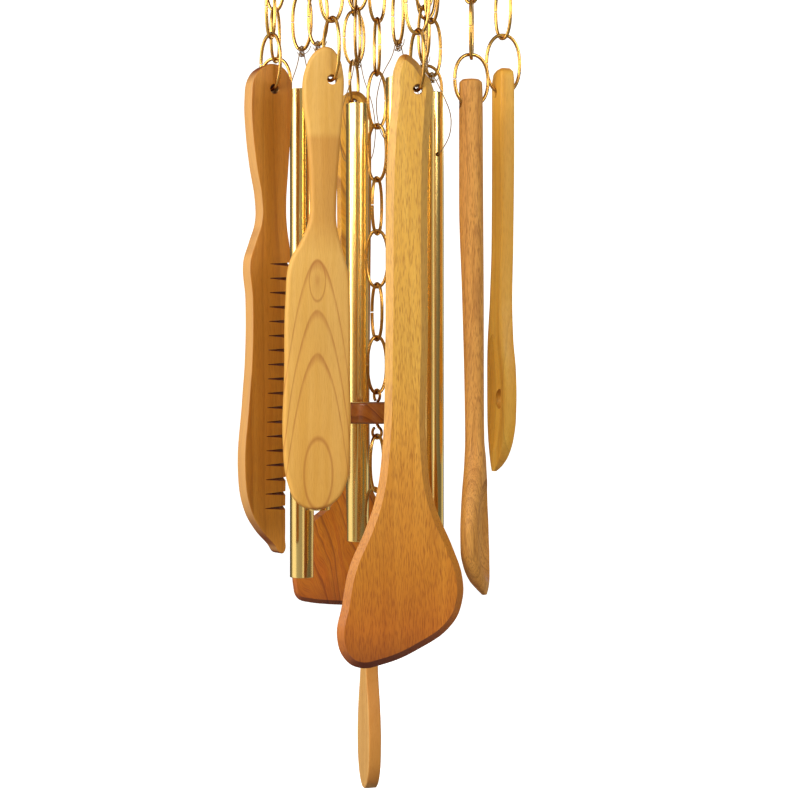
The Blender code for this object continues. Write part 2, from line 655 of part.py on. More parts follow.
def make_utensils(board):
    chains = {}
    for name, x, y, top, (first, second, ring), length in UTENSIL_CHAINS:
        links = [*plain(first, second), (ring, length, RING_WIDTH)]
        chain = hang_chain(board, name, x, y, top, links, first + 90)
        low_point = top - 2 * PITCH - length + WIRE / 2
        chains[name] = (chain, (x, y, low_point))
    chain, at = chains["knife"]
    make_knife(at, chain)
    chain, at = chains["spatula"]
    flat_piece("spatula", at, SPATULA_OUTLINE, SPATULA_THICKNESS, "spatula_wood", chain)
    chain, at = chains["turner"]
    flat_piece(
        "slanted_turner", at, TURNER_OUTLINE, TURNER_THICKNESS, "turner_wood", chain, TURNER_EDGE
    )
    chain, at = chains["dark_turner"]
    flat_piece("dark_turner", at, DARK_TURNER_OUTLINE, DARK_TURNER_THICKNESS, "dark_wood", chain)

    chain, at = chains["round_spoon"]
    spoon = lofted_piece("round_spoon", at, ROUND_SPOON_STATIONS, "beech", chain)
    hollow_bowl(spoon, "round_bowl", *ROUND_BOWL)
    cut_round_hole(
        spoon, "round_spoon_hole", HOLE_RADIUS, 0, ROUND_HOLE_LIFT, ROUND_SPOON_HOLE_TURN
    )
    shade_smooth(spoon)

    chain, at = chains["risotto_spoon"]
    spoon = lofted_piece(
        "risotto_spoon", at, RISOTTO_SPOON_STATIONS, "risotto_wood", chain, power=RISOTTO_POWER
    )
    hollow_bowl(spoon, "risotto_bowl", *RISOTTO_BOWL)
    turn = TURNS["risotto_spoon"]
    cut_round_hole(spoon, "bowl_hole", BOWL_HOLE_RADIUS, 0, BOWL_HOLE_HEIGHT, turn, sides=14)
    cut_round_hole(
        spoon, "risotto_spoon_hole", HOLE_RADIUS, 0, HOLE_LIFT, RISOTTO_SPOON_HOLE_TURN
    )
    shade_smooth(spoon)

    chain, at = chains["stick"]
    stick = lofted_piece("stirring_stick", at, STICK_STATIONS, "beech", chain)
    cut_round_hole(stick, "stick_hole", HOLE_RADIUS, 0, HOLE_LIFT, TURNS["stirring_stick"])
    shade_smooth(stick)

    chain, at = chains["back_spoon"]
    spoon = lofted_piece("back_spoon", at, BACK_SPOON_STATIONS, "beech", chain)
    hollow_bowl(spoon, "back_bowl", *BACK_BOWL)
    turn = TURNS["back_spoon"]
    cut_round_hole(spoon, "back_spoon_hole", HOLE_RADIUS, 0, ROUND_HOLE_LIFT, turn)
    shade_smooth(spoon)


def make_tubes(board):
    for name, x, y, bottom, azimuth, tube_top, length, drop, hole_azimuth, bulge in TUBES:
        top = bottom + LINK_LENGTH + PITCH
        links = plain(azimuth + 90, azimuth)
        chain = hang_chain(board, f"tube_{name}", x, y, top, links, azimuth)
        wire_z = bottom + WIRE / 2
        at = (x, y, wire_z)
        tube = make_tube(f"tube_{name}", at, tube_top, length, drop, hole_azimuth, chain)
        hole_z = tube_top - drop
        make_nylon(f"nylon_{name}", tube, hole_z, wire_z, drop, hole_azimuth, azimuth, bulge)


def make_striker(parent):
    """The disc with its two screw eyes, the lower chain and the sail."""
    last_azimuth = CENTRE_LINKS[-1][0]
    low = CENTRE_TOP - PITCH * (len(CENTRE_LINKS) - 1) - LINK_LENGTH + WIRE / 2
    mesh = cylinder_mesh(
        "striker", STRIKER_RADIUS, STRIKER_TOP - STRIKER_THICKNESS - low, STRIKER_TOP - low, 36
    )
    striker = add_part("striker", mesh, "striker_wood", (0, 0, low), parent)
    chamfer(striker, STRIKER_EDGE)
    radius = STRIKER_EYE_WIRE / 2 + GAP
    for side, height in (("top", STRIKER_TOP), ("bottom", STRIKER_TOP - STRIKER_THICKNESS)):
        low_end, high_end = height - STRIKER_PILOT_DEPTH, height + STRIKER_PILOT_DEPTH
        pilot = cylinder_mesh(f"striker_pilot_{side}", radius, low_end, high_end, 8)
        boolean(striker, add_cutter(f"striker_pilot_{side}", pilot))

    inner = STRIKER_EYE_RADIUS - STRIKER_EYE_WIRE / 2
    centre = (0, 0, low + WIRE / 2 + GAP - inner)
    end = STRIKER_TOP - STRIKER_SHANK
    screw_eye(
        "striker_top_eye", striker, STRIKER_EYE_WIRE, STRIKER_EYE_RADIUS, centre,
        last_azimuth + 90, end,
    )
    lower_top = STRIKER_TOP - STRIKER_THICKNESS - LOWER_DROP
    centre = (0, 0, lower_top - WIRE - GAP + inner)
    end = STRIKER_TOP - STRIKER_THICKNESS + STRIKER_SHANK
    screw_eye(
        "striker_low_eye", striker, STRIKER_EYE_WIRE, STRIKER_EYE_RADIUS, centre,
        LOWER_LINKS[0][0] + 90, end,
    )
    chain = make_chain("lower_chain", 0, 0, lower_top, LOWER_LINKS, striker, LOWER_LEAN)
    low_point = lower_top - 3 * PITCH - LOWER_LINKS[-1][1] + WIRE / 2
    at = (3 * LOWER_LEAN, 0, low_point)
    flat_piece("sail", at, SAIL_OUTLINE, SAIL_THICKNESS, "sail_wood", chain)


def build():
    places = [(x, y) for _, x, y, *_ in UTENSIL_CHAINS] + [(x, y) for _, x, y, *_ in TUBES]
    board = make_board(places + [(0, 0)])
    make_hanging_gear(board)
    make_utensils(board)
    make_tubes(board)
    centre = hang_chain(board, "centre", 0, 0, CENTRE_TOP, CENTRE_LINKS, CENTRE_EYE_AZIMUTH)
    make_striker(centre)


build()
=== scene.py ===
"""Final looks of the wind chime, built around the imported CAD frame.

Lengths in this file are millimetres and are multiplied by MM as a point is made. An azimuth is an angle
from +X towards +Y, seen from above. A wooden piece is built upright about the point where it hangs: X
across its face, -Y out of its front and Z up; then it is turned about Z and put at its joint.
"""

import math

import bmesh
import bpy
import numpy as np
from mathutils import Matrix, Vector
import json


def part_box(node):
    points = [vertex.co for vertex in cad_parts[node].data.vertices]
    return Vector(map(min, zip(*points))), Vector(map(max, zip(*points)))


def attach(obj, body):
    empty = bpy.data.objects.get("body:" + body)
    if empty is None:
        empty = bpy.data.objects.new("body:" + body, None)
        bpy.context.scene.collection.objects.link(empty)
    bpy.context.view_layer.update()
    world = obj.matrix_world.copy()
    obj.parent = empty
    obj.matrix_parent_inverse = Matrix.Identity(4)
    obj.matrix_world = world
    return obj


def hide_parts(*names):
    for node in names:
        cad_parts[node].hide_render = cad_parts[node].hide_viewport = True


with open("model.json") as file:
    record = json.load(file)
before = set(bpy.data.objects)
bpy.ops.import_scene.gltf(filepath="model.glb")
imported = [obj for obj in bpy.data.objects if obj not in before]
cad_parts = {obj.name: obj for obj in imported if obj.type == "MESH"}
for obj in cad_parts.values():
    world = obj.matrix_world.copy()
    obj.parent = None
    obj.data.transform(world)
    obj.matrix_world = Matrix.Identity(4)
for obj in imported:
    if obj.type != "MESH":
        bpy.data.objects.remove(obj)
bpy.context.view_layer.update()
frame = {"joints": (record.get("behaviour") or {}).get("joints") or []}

MM = 0.001
GAP = 0.3  # running clearance in the CAD model
CLOSE = 0.05  # clearance between pieces that touch here

WIRE = 1.7
PITCH = 26.5
LINK_LINE = PITCH + WIRE + CLOSE  # length of a link's centre line
LINK_ACROSS = 10.8
RING_ACROSS = 16.8
LINK_POWER = 2.25  # 2 is an ellipse, and more is squarer
BUTT_GAP = 0.15  # half the opening of a link's joint
CAD_LINK = 29.4
EYE_WIRE = 1.8
EYE_RADIUS = 4.2
STRIKER_EYE_WIRE = 1.5
STRIKER_EYE_RADIUS = 2.85
THREAD_PITCH = 1.3
THREAD_HEIGHT = 0.22
THREAD_STEP = 0.16  # between the points along a threaded stem
TOP_EYE_WIRE = 2.4
TOP_EYE_RADIUS = 5.5
RING_WIRE = 2.4
RING_OPENING = 1.2  # degrees of the hanging ring that its joint leaves open
BORE = 5.0
CROSS_HOLE = 1.1
NYLON = 0.5
HOLE_RADIUS = 2.3
SAIL_HOLE_RADIUS = 3.0  # the sail swings further than the rest
HOLE_LIFT = -0.1
ROUND_HOLE_LIFT = 0.6
BOWL_HOLE_RADIUS = 5.0
CUTTER_REACH = 4.0  # how far a hole's cutter goes past its piece
LOWER_LEAN = -1.3

# Azimuths of the links down each chain, the last one of a utensil's chain being its wide ring.
UTENSIL_LINKS = {
    "knife": (10, 72, -52),
    "spatula": (-110, 12, -62),
    "turner": (-71, 0, -68),
    "round_spoon": (-39, 83, 17),
    "risotto_spoon": (8, -50, 8),
    "dark_turner": (103, 12, 76),
    "stick": (151, 70, -15),
    "back_spoon": (25, 85, 5),
}
UTENSIL_OF = {
    "knife": "serrated_knife",
    "spatula": "spatula",
    "turner": "slanted_turner",
    "round_spoon": "round_spoon",
    "risotto_spoon": "risotto_spoon",
    "dark_turner": "dark_turner",
    "stick": "stirring_stick",
    "back_spoon": "back_spoon",
}
TUBE_LINK = {"a": -29, "b": -103, "c": -145, "d": -62, "e": -30, "f": -60}
TUBE_HOLE = {"a": 12, "b": -15, "c": -62, "d": 15, "e": 50, "f": 20}
TUBE_BULGE = {"a": -0.8, "b": 1.2, "c": 1.6, "d": 2.4, "e": 0.4, "f": 0.4}
TUBE_SWING = {"c": 45}
CENTRE_LINKS = (45, 105, 35, 149, 65, 175, 118, 31)
CENTRE_EYE = -20
LOWER_LINKS = (53, -30, 60)
LOWER_RING = -5

PIVOT = {joint["child"]: Vector(joint["pos_m"]) / MM for joint in frame["joints"]}


def low_z(node):
    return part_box(node)[0].z / MM


def high_z(node):
    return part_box(node)[1].z / MM


# Shared mesh tools.


def mesh_from(bm, name):
    bmesh.ops.recalc_face_normals(bm, faces=bm.faces)
    mesh = bpy.data.meshes.new(name)
    bm.to_mesh(mesh)
    bm.free()
    return mesh


def new_object(name, mesh):
    obj = bpy.data.objects.new(name, mesh)
    bpy.context.scene.collection.objects.link(obj)
    return obj


def smooth(obj, angle=38):
    obj.data.shade_smooth()
    obj.data.set_sharp_from_angle(angle=math.radians(angle))


def across(azimuth):
    return Vector((math.cos(math.radians(azimuth)), math.sin(math.radians(azimuth)), 0))


def add_sweep(bm, path, radius, sides, closed=False):
    """A round wire along the path. radius is a number, or a function of the way along and the turn."""
    path = [Vector(place) for place in path]
    count = len(path)
    rings = []
    side = None
    travelled = 0.0
    for number, here in enumerate(path):
        before = path[number - 1] if closed or number else here
        after = path[(number + 1) % count] if closed or number < count - 1 else here
        along = (after - before).normalized()
        if side is None:
            side = along.orthogonal()
        side = (side - along * side.dot(along)).normalized()
        other = along.cross(side)
        if number:
            travelled += (here - before).length
        ring = []
        for step in range(sides):
            turn = 2 * math.pi * step / sides
            thick = radius(travelled, turn) if callable(radius) else radius
            place = here + (side * math.cos(turn) + other * math.sin(turn)) * thick
            ring.append(bm.verts.new(place * MM))
        rings.append(ring)
    pairs = list(zip(rings, rings[1:]))
    if closed:
        pairs.append((rings[-1], rings[0]))
    for one, two in pairs:
        for step in range(sides):
            after = (step + 1) % sides
            bm.faces.new((one[step], one[after], two[after], two[step]))
    if not closed:
        bm.faces.new(rings[0][::-1])
        bm.faces.new(rings[-1])


def sweep_mesh(name, path, radius, sides):
    bm = bmesh.new()
    add_sweep(bm, path, radius, sides)
    return mesh_from(bm, name)


def smooth_path(points, steps):
    """Points on a Catmull-Rom curve through the given ones."""
    points = [Vector(point) for point in points]
    ends = [points[0] * 2 - points[1], *points, points[-1] * 2 - points[-2]]
    path = []
    for before, start, end, after in zip(ends, ends[1:], ends[2:], ends[3:]):
        for step in range(steps):
            t = step / steps
            path.append(
                0.5
                * (
                    2 * start
                    + (end - before) * t
                    + (2 * before - 5 * start + 4 * end - after) * t**2
                    + (3 * start - before - 3 * end + after) * t**3
                )
            )
    return path + [points[-1]]


def lathe_mesh(name, profile, sides, closed=False):
    """Turns (radius, height) points about Z. A profile that isn't closed starts and ends on the axis."""
    bm = bmesh.new()
    rings = []
    for radius, height in profile:
        if radius == 0:
            rings.append([bm.verts.new((0, 0, height * MM))] * sides)
            continue
        ring = []
        for step in range(sides):
            turn = 2 * math.pi * step / sides
            place = Vector((radius * math.cos(turn), radius * math.sin(turn), height))
            ring.append(bm.verts.new(place * MM))
        rings.append(ring)
    pairs = list(zip(rings, rings[1:]))
    if closed:
        pairs.append((rings[-1], rings[0]))
    for one, two in pairs:
        for step in range(sides):
            after = (step + 1) % sides
            corners = dict.fromkeys((one[step], one[after], two[after], two[step]))
            bm.faces.new(list(corners))
    return mesh_from(bm, name)


def rounded(points, radius, steps=5):
    """The (radius, height) points with each corner that is marked by a third value rounded off."""
    made = []
    for number, point in enumerate(points):
        if len(point) == 2:
            made.append(point)
            continue
        here = Vector(point[:2])
        back = (Vector(points[number - 1][:2]) - here).normalized() * radius
        on = (Vector(points[(number + 1) % len(points)][:2]) - here).normalized() * radius
        for step in range(steps + 1):
            turn = math.pi / 2 * step / steps
            place = here + back * (1 - math.sin(turn)) + on * (1 - math.cos(turn))
            made.append(tuple(place))
    return made


def cut(obj, cutters):
    """Takes each cutter mesh, in the object's own coordinates, out of the object."""
    helpers = []
    for mesh in cutters:
        helper = new_object("cutter", mesh)
        modifier = obj.modifiers.new("Cut", "BOOLEAN")
        modifier.operation = "DIFFERENCE"
        modifier.solver = "EXACT"
        modifier.object = helper
        helpers.append(helper)
    bpy.context.view_layer.update()
    evaluated = obj.evaluated_get(bpy.context.evaluated_depsgraph_get())
    obj.data = bpy.data.meshes.new_from_object(evaluated)
    obj.modifiers.clear()
    for helper in helpers:
        bpy.data.objects.remove(helper)


def flared_hole(radius, depth, flare=0.3):
    """A cutter along Y for a hole through a piece from -depth to depth, with its rims eased."""
    end = depth + CUTTER_REACH
    outer = radius + flare + CUTTER_REACH
    profile = [(0, -end), (outer, -end)]
    for sign in (-1, 1):
        rim = []
        for step in range(5):
            turn = math.pi / 2 * step / 4
            out = radius + flare * (1 - math.sin(turn))
            rim.append((out, sign * (depth - flare * (1 - math.cos(turn)))))
        profile += rim if sign < 0 else rim[::-1]
    profile += [(outer, end), (0, end)]
    mesh = lathe_mesh("hole", profile, 40)
    mesh.transform(Matrix.Rotation(-math.pi / 2, 4, "X"))
    return mesh


def place_hole(mesh, z, turn=0.0):
    """Turns a hole cutter about Z, relative to its piece, and moves it to its place."""
    mesh.transform(Matrix.Rotation(math.radians(turn), 4, "Z"))
    mesh.transform(Matrix.Translation(Vector((0, 0, z)) * MM))
    return mesh


# Shader tools.

ARCH_MARGIN = 30.0  # of plain wood above and below the arched growth lines
SHADE_TOP = 14.0  # where a piece's shading starts, above its hanging point


def srgb(red, green, blue):
    """A screen colour of 0 to 255 as the linear colour that a shader takes."""
    made = []
    for value in (red, green, blue):
        share = value / 255
        made.append(share / 12.92 if share <= 0.04045 else ((share + 0.055) / 1.055) ** 2.4)
    return (*made, 1.0)


class Shader:
    """A material's node tree, with one short call for each kind of node that is used here."""

    def __init__(self, name):
        self.material = bpy.data.materials.new(name)
        self.material.use_nodes = True
        self.tree = self.material.node_tree
        self.surface = self.tree.nodes["Principled BSDF"]

    def node(self, kind, inputs, **settings):
        made = self.tree.nodes.new(kind)
        for key, value in settings.items():
            setattr(made, key, value)
        for key, value in inputs.items():
            if isinstance(value, bpy.types.NodeSocket):
                self.tree.links.new(value, made.inputs[key])
            else:
                made.inputs[key].default_value = value
        return made

    def math(self, operation, one, two=0.0):
        return self.node("ShaderNodeMath", {0: one, 1: two}, operation=operation).outputs[0]

    def scaled(self, vector, scale):
        node = self.node("ShaderNodeVectorMath", {0: vector, 1: scale}, operation="MULTIPLY")
        return node.outputs[0]

    def noise(self, vector, scale, detail=2.0, roughness=0.5):
        """Noise in 0 to 1 whose scale is given for each axis."""
        inputs = {"Vector": self.scaled(vector, scale), "Scale": 1.0}
        inputs |= {"Detail": detail, "Roughness": roughness}
        return self.node("ShaderNodeTexNoise", inputs).outputs[0]

    def ramp(self, share, stops):
        """A colour for each place from 0 to 1. A plain number as a colour is a grey."""
        node = self.node("ShaderNodeValToRGB", {"Fac": share})
        ramp = node.color_ramp
        while len(ramp.elements) < len(stops):
            ramp.elements.new(1.0)
        for element, (place, colour) in zip(ramp.elements, stops):
            element.position = place
            element.color = colour if isinstance(colour, tuple) else (colour, colour, colour, 1)
        return node.outputs[0]

    def mix(self, share, one, two, blend="MIX"):
        node = self.node("ShaderNodeMix", {0: share, 6: one, 7: two}, data_type="RGBA", blend_type=blend)
        return node.outputs[2]

    def span(self, value, low, high, to_low, to_high):
        inputs = {"Value": value, "From Min": low, "From Max": high, "To Min": to_low, "To Max": to_high}
        return self.node("ShaderNodeMapRange", inputs).outputs[0]

    def own_place(self):
        """The piece's own coordinates in millimetres."""
        place = self.node("ShaderNodeTexCoord", {}).outputs["Object"]
        return self.scaled(place, (1 / MM,) * 3)

    def parts(self, vector):
        return self.node("ShaderNodeSeparateXYZ", {0: vector}).outputs

    def vector(self, x, y, z):
        return self.node("ShaderNodeCombineXYZ", {0: x, 1: y, 2: z}).outputs[0]

    def bump(self, height, distance, strength):
        inputs = {"Height": height, "Distance": distance * MM, "Strength": strength}
        raised = self.node("ShaderNodeBump", inputs)
        self.tree.links.new(raised.outputs[0], self.surface.inputs["Normal"])

    def set(self, **values):
        for key, value in values.items():
            socket = self.surface.inputs[key.replace("_", " ")]
            if isinstance(value, bpy.types.NodeSocket):
                self.tree.links.new(value, socket)
            else:
                socket.default_value = value


def straight_growth(s, grain, line_gap):
    """Growth lines that run down the piece, line_gap apart."""
    x, y, _ = s.parts(grain)
    ring = s.math("ADD", s.math("DIVIDE", x, line_gap), s.math("MULTIPLY", y, 0.11))
    wander = s.math("MULTIPLY", s.noise(grain, (0.09, 0.09, 0.004), 1.0), 2.0)
    stops = [(0.0, 0.0), (0.72, 0.25), (0.93, 1.0), (1.0, 0.0)]
    return s.ramp(s.math("FRACT", s.math("ADD", ring, wander)), stops)


def arched_growth(s, place, grain, warp, arches):
    """The growth lines of flat-sawn wood, as arches over the piece's middle."""
    x, _, z = s.parts(place)
    heights, curve, middle, width = arches
    off = s.math("SUBTRACT", x, middle)
    drop = s.math("MULTIPLY", s.math("MULTIPLY", off, off), curve)
    level = s.math("ADD", s.math("ADD", z, drop), s.math("MULTIPLY", warp, 9.0))
    top = max(heights) + ARCH_MARGIN
    low = min(heights) - ARCH_MARGIN
    stops = [(0.0, 0.0)]
    for height in sorted(heights):
        at = (height - low) / (top - low)
        stops += [(at - width, 0.0), (at, 1.0), (at + width * 0.3, 0.0)]
    growth = s.ramp(s.span(level, low, top, 0.0, 1.0), [*stops, (1.0, 0.0)])
    soft = s.ramp(s.noise(grain, (0.5, 0.5, 0.05), 2.0), [(0.3, 0.6), (0.7, 1.0)])
    return s.math("MULTIPLY", growth, soft)


def knot_mark(s, place, warp, knot):
    """How strongly an oval knot shows: its heart and the dark line round it."""
    x, _, z = s.parts(place)
    knot_x, knot_z, size, heart = knot
    off_x = s.math("SUBTRACT", x, knot_x)
    off_z = s.math("MULTIPLY", s.math("SUBTRACT", z, knot_z), 0.4)
    off = s.vector(off_x, s.math("MULTIPLY", warp, 3.0), off_z)
    far = s.node("ShaderNodeVectorMath", {0: off}, operation="LENGTH").outputs["Value"]
    stops = [(0.0, heart), (0.3, heart * 0.35), (0.8, 0.0), (0.9, 0.8), (1.0, 0.0)]
    return s.ramp(s.math("DIVIDE", far, size), stops)


def wood(
    name,
    light,
    dark,
    line,
    streak=0.5,
    flecks=0.3,
    lines=0.35,
    line_gap=3.2,
    lean=0.0,
    wave=1.6,
    arches=None,
    knots=(),
    shade=((0.0, 1.0), (1.0, 1.0)),
    ends=0.35,
    sides=0.0,
    painted_side_colour=srgb(206, 164, 106),
    height=250.0,
    roughness=0.5,
    coat=0.0,
    flat=False,
):
    """Planed and oiled wood whose grain runs down the piece, or along X in a flat one.

    light and dark are the colours of the wood between growth lines, and line that of the lines. streak,
    flecks and lines are how strongly the long streaks, pores and growth lines show. arches are, for
    flat-sawn wood, the heights at which growth lines cross its middle, how steeply they drop from there,
    the middle's x and the lines' width. shade darkens the piece from its top, 0, to height below it, 1.
    knots are (x, z, half width, heart), where heart is how dark the middle is. ends is how much darker the
    faces across the grain are: partly the end grain's own darker tone, partly painted shade on the bottom
    facets that face away from the light. sides is how far the narrow sides take the side colour, a painted
    light where it is paler than the face and a painted shade where it is darker.
    """
    s = Shader(name)
    place = s.own_place()
    facing = s.node("ShaderNodeTexCoord", {}).outputs["Normal"]
    if flat:
        place = s.vector(s.parts(place)[1], s.parts(place)[2], s.parts(place)[0])
        facing = s.vector(s.parts(facing)[1], s.parts(facing)[2], s.parts(facing)[0])
    x, y, z = s.parts(place)
    warp = s.math("SUBTRACT", s.noise(place, (0.05, 0.05, 0.016), 2.0), 0.5)
    shift = s.math("MULTIPLY", warp, wave * 4)
    shift = s.math("ADD", shift, s.math("MULTIPLY", z, lean))
    grain = s.vector(s.math("ADD", x, shift), y, z)
    broad = s.noise(grain, (0.16, 0.16, 0.006), 3.0, 0.6)
    fibre = s.noise(grain, (2.2, 2.2, 0.06), 4.0, 0.75)
    colour = s.mix(s.span(broad, 0.3, 0.7, 0.0, 1.0), light, dark)
    colour = s.mix(s.span(fibre, 0.35, 0.7, 0.0, streak), colour, dark)
    if arches:
        growth = arched_growth(s, place, grain, warp, arches)
    else:
        growth = straight_growth(s, grain, line_gap)
    colour = s.mix(s.math("MULTIPLY", growth, lines), colour, line)
    pore = s.noise(grain, (3.2, 3.2, 0.22), 1.0)
    pore = s.ramp(pore, [(0.5, 0.0), (0.66, 1.0)])
    colour = s.mix(s.math("MULTIPLY", pore, flecks), colour, line)
    for knot in knots:
        mark = knot_mark(s, place, warp, knot)
        colour = s.mix(s.math("MULTIPLY", mark, lines), colour, line)
    # Painted light and shade: the narrow sides take the side colour, paler where they catch the light and
    # darker where they lie in shade.
    side = s.span(s.math("ABSOLUTE", s.parts(facing)[0]), 0.6, 0.8, 0.0, sides)
    colour = s.mix(side, colour, painted_side_colour)
    down = s.span(z, SHADE_TOP, SHADE_TOP - height, 0.0, 1.0)
    colour = s.mix(1.0, colour, s.ramp(down, list(shade)), "MULTIPLY")
    # Partly painted shade: faces across the grain, the downward bottom facets among them, are darkened for
    # end grain and for shade.
    end_grain_and_shade = s.span(s.math("ABSOLUTE", s.parts(facing)[2]), 0.25, 0.75, 0.0, ends)
    colour = s.mix(end_grain_and_shade, colour, s.mix(1.0, colour, line, "MULTIPLY"))
    blotch = s.noise(place, (0.045, 0.045, 0.02), 2.0)
    colour = s.mix(0.5, colour, s.ramp(blotch, [(0.35, 0.86), (0.65, 1.0)]), "MULTIPLY")
    worn = s.math("ADD", fibre, s.math("MULTIPLY", blotch, 0.5))
    rough = s.span(worn, 0.4, 1.1, roughness - 0.08, roughness + 0.1)
    s.set(Base_Color=colour, Roughness=rough, Specular_IOR_Level=0.32)
    s.set(Coat_Weight=coat, Coat_Roughness=0.18)
    s.bump(s.math("SUBTRACT", fibre, s.math("MULTIPLY", pore, 0.7)), 0.09, 0.6)
    return s.material


def metal(name, light, dark, roughness, drawn=0.0, tarnish=0.35, spots=1.0):
    """Polished brass with a thin uneven tarnish.

    drawn is how strongly fine lines run along a tube, and spots is how much small marks show.
    """
    s = Shader(name)
    place = s.own_place()
    stain = s.noise(place, (0.09, 0.09, 0.03), 3.0, 0.6)
    small = s.noise(place, (0.9, 0.9, 0.5), 2.0)
    colour = s.mix(s.span(stain, 0.35, 0.75, 0.0, tarnish), light, dark)
    colour = s.mix(s.span(small, 0.5, 0.8, 0.0, tarnish * 0.6 * spots), colour, dark)
    lines = s.noise(place, (5.0, 5.0, 0.03), 2.0)
    rough = s.span(stain, 0.3, 0.8, roughness * 0.8, roughness * 1.4)
    s.set(Base_Color=colour, Metallic=1.0, Roughness=rough)
    height = s.math("ADD", s.math("MULTIPLY", lines, drawn), s.math("MULTIPLY", small, 0.1 * spots))
    s.bump(height, 0.02, 0.3)
    return s.material


def clear_line(name):
    """Thin clear nylon line, coloured with a painted reflection of the warm wood and brass round it."""
    s = Shader(name)
    place = s.own_place()
    cloud = s.noise(place, (1.4, 1.4, 1.4), 2.0)
    # Painted reflection: the clear line is coloured with the warm gold-brown of what is round it.
    colour = s.mix(s.span(cloud, 0.3, 0.7, 0.0, 1.0), srgb(176, 132, 66), srgb(116, 80, 34))
    s.set(Base_Color=colour, Roughness=s.span(cloud, 0.3, 0.7, 0.3, 0.5))
    s.set(Transmission_Weight=0.12, IOR=1.4)
    s.bump(cloud, 0.01, 0.3)
    return s.material


MATERIALS = {
    "board_wood": wood(
        "board_wood", srgb(204, 142, 70), srgb(176, 110, 46), srgb(122, 68, 24), lines=0.6, line_gap=7.0,
        wave=3.0, roughness=0.6, flat=True,
    ),
    "brass": metal("brass", srgb(226, 178, 92), srgb(150, 96, 38), 0.21, tarnish=0.75),
    "tube_brass": metal(
        "tube_brass", srgb(254, 220, 136), srgb(222, 170, 84), 0.2, drawn=0.1, tarnish=0.3, spots=0.0,
    ),
    # Painted light: its paler narrow sides. Its ends darkening is partly painted shade on the tip's lower
    # facets.
    "knife_wood": wood(
        "knife_wood", srgb(214, 148, 52), srgb(190, 116, 28), srgb(140, 74, 14), streak=0.4, flecks=0.2,
        lines=0.3, line_gap=7.5, wave=1.0, ends=0.9, sides=0.5, roughness=0.5,
    ),
    "spatula_wood": wood(
        "spatula_wood", srgb(228, 180, 96), srgb(212, 158, 66), srgb(170, 100, 36), streak=0.35, flecks=0.1,
        lines=0.8, arches=((-84.0, -107.8, -128.9), 0.26, -7.0, 0.04),
        knots=((-7.0, -94.0, 4.2, 0.7), (-6.6, -184.0, 7.4, 0.0)), shade=(
            (0.0, 1.0), (0.17, (1.0, 0.98, 0.94, 1)), (0.185, (0.84, 0.72, 0.56, 1)),
            (0.35, (0.86, 0.76, 0.62, 1)), (0.42, 1.0), (1.0, (0.97, 0.88, 0.72, 1)),
        ), height=228.0, roughness=0.52,
    ),
    # Painted light: its paler narrow sides. Painted shade: the bottom edge, by the last shade stops and the
    # ends.
    "turner_wood": wood(
        "turner_wood", srgb(232, 186, 86), srgb(212, 158, 58), srgb(156, 98, 28), streak=0.8, flecks=0.6,
        lines=0.15, line_gap=4.4, wave=1.2, shade=(
            (0.0, 1.0), (0.5, (1.0, 0.94, 0.84, 1)), (0.68, (0.9, 0.68, 0.44, 1)),
            (0.84, (0.76, 0.47, 0.16, 1)), (0.93, (0.7, 0.36, 0.12, 1)), (1.0, (0.36, 0.15, 0.05, 1)),
        ), ends=0.9, sides=0.45, height=285.0, roughness=0.42, coat=0.08,
    ),
    "beech": wood(
        "beech", srgb(232, 170, 82), srgb(212, 144, 60), srgb(146, 84, 28), streak=0.5, flecks=0.6,
        lines=0.4, line_gap=3.4, lean=0.03, wave=2.4, roughness=0.55,
    ),
    "risotto_wood": wood(
        "risotto_wood", srgb(250, 200, 84), srgb(236, 168, 54), srgb(178, 108, 26), streak=0.4, flecks=0.2,
        lines=0.3, line_gap=5.0, roughness=0.45,
    ),
    "dark_wood": wood(
        "dark_wood", srgb(248, 202, 74), srgb(216, 146, 36), srgb(120, 52, 8), streak=0.8, flecks=0.3,
        lines=0.6, line_gap=7.0, lean=0.3, wave=4.5, shade=(
            (0.0, 1.0), (0.5, (1.0, 0.9, 0.74, 1)), (0.74, (0.8, 0.52, 0.24, 1)),
            (0.93, (0.66, 0.36, 0.12, 1)), (1.0, (0.4, 0.17, 0.06, 1)),
        ), ends=0.7, height=285.0, roughness=0.38, coat=0.15,
    ),
    "striker_wood": wood(
        "striker_wood", srgb(206, 130, 48), srgb(176, 96, 26), srgb(110, 52, 10), lines=0.7, line_gap=9.0,
        lean=1.2, wave=2.0, roughness=0.3, coat=0.5,
    ),
    # Painted shade: its narrow sides take a darker side colour.
    "sail_wood": wood(
        "sail_wood", srgb(226, 180, 108), srgb(206, 150, 76), srgb(148, 86, 32), streak=0.4, flecks=0.35,
        lines=0.3, line_gap=4.0, sides=0.8, painted_side_colour=srgb(204, 132, 48), roughness=0.5,
    ),
    "nylon": clear_line("nylon"),
}


def finish(obj, slot, body, *nodes):
    """Gives a piece the material named by slot, hides the CAD nodes it stands for, and rides it on its body.
    """
    obj.data.materials.clear()
    obj.data.materials.append(MATERIALS[slot])
    if nodes:
        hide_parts(*nodes)
    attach(obj, body)


# Camera. The picture's top edge is below the board.

CAMERA_AT = (10.0, -850.0, -288.5)
SENSOR = 36.0
FRAME_WIDTH = 397.0  # millimetres across the frame at the chime's middle
VIEW_SHIFT = -6.0  # millimetres up the frame, at the same place

camera_data = bpy.data.cameras.new("camera")
camera_data.sensor_width = SENSOR
camera_data.lens = SENSOR * -CAMERA_AT[1] / FRAME_WIDTH
camera_data.shift_y = VIEW_SHIFT / FRAME_WIDTH
camera = bpy.data.objects.new("camera", camera_data)
camera.location = Vector(CAMERA_AT) * MM
camera.rotation_euler = (math.pi / 2, 0, 0)
bpy.context.scene.collection.objects.link(camera)
bpy.context.scene.camera = camera


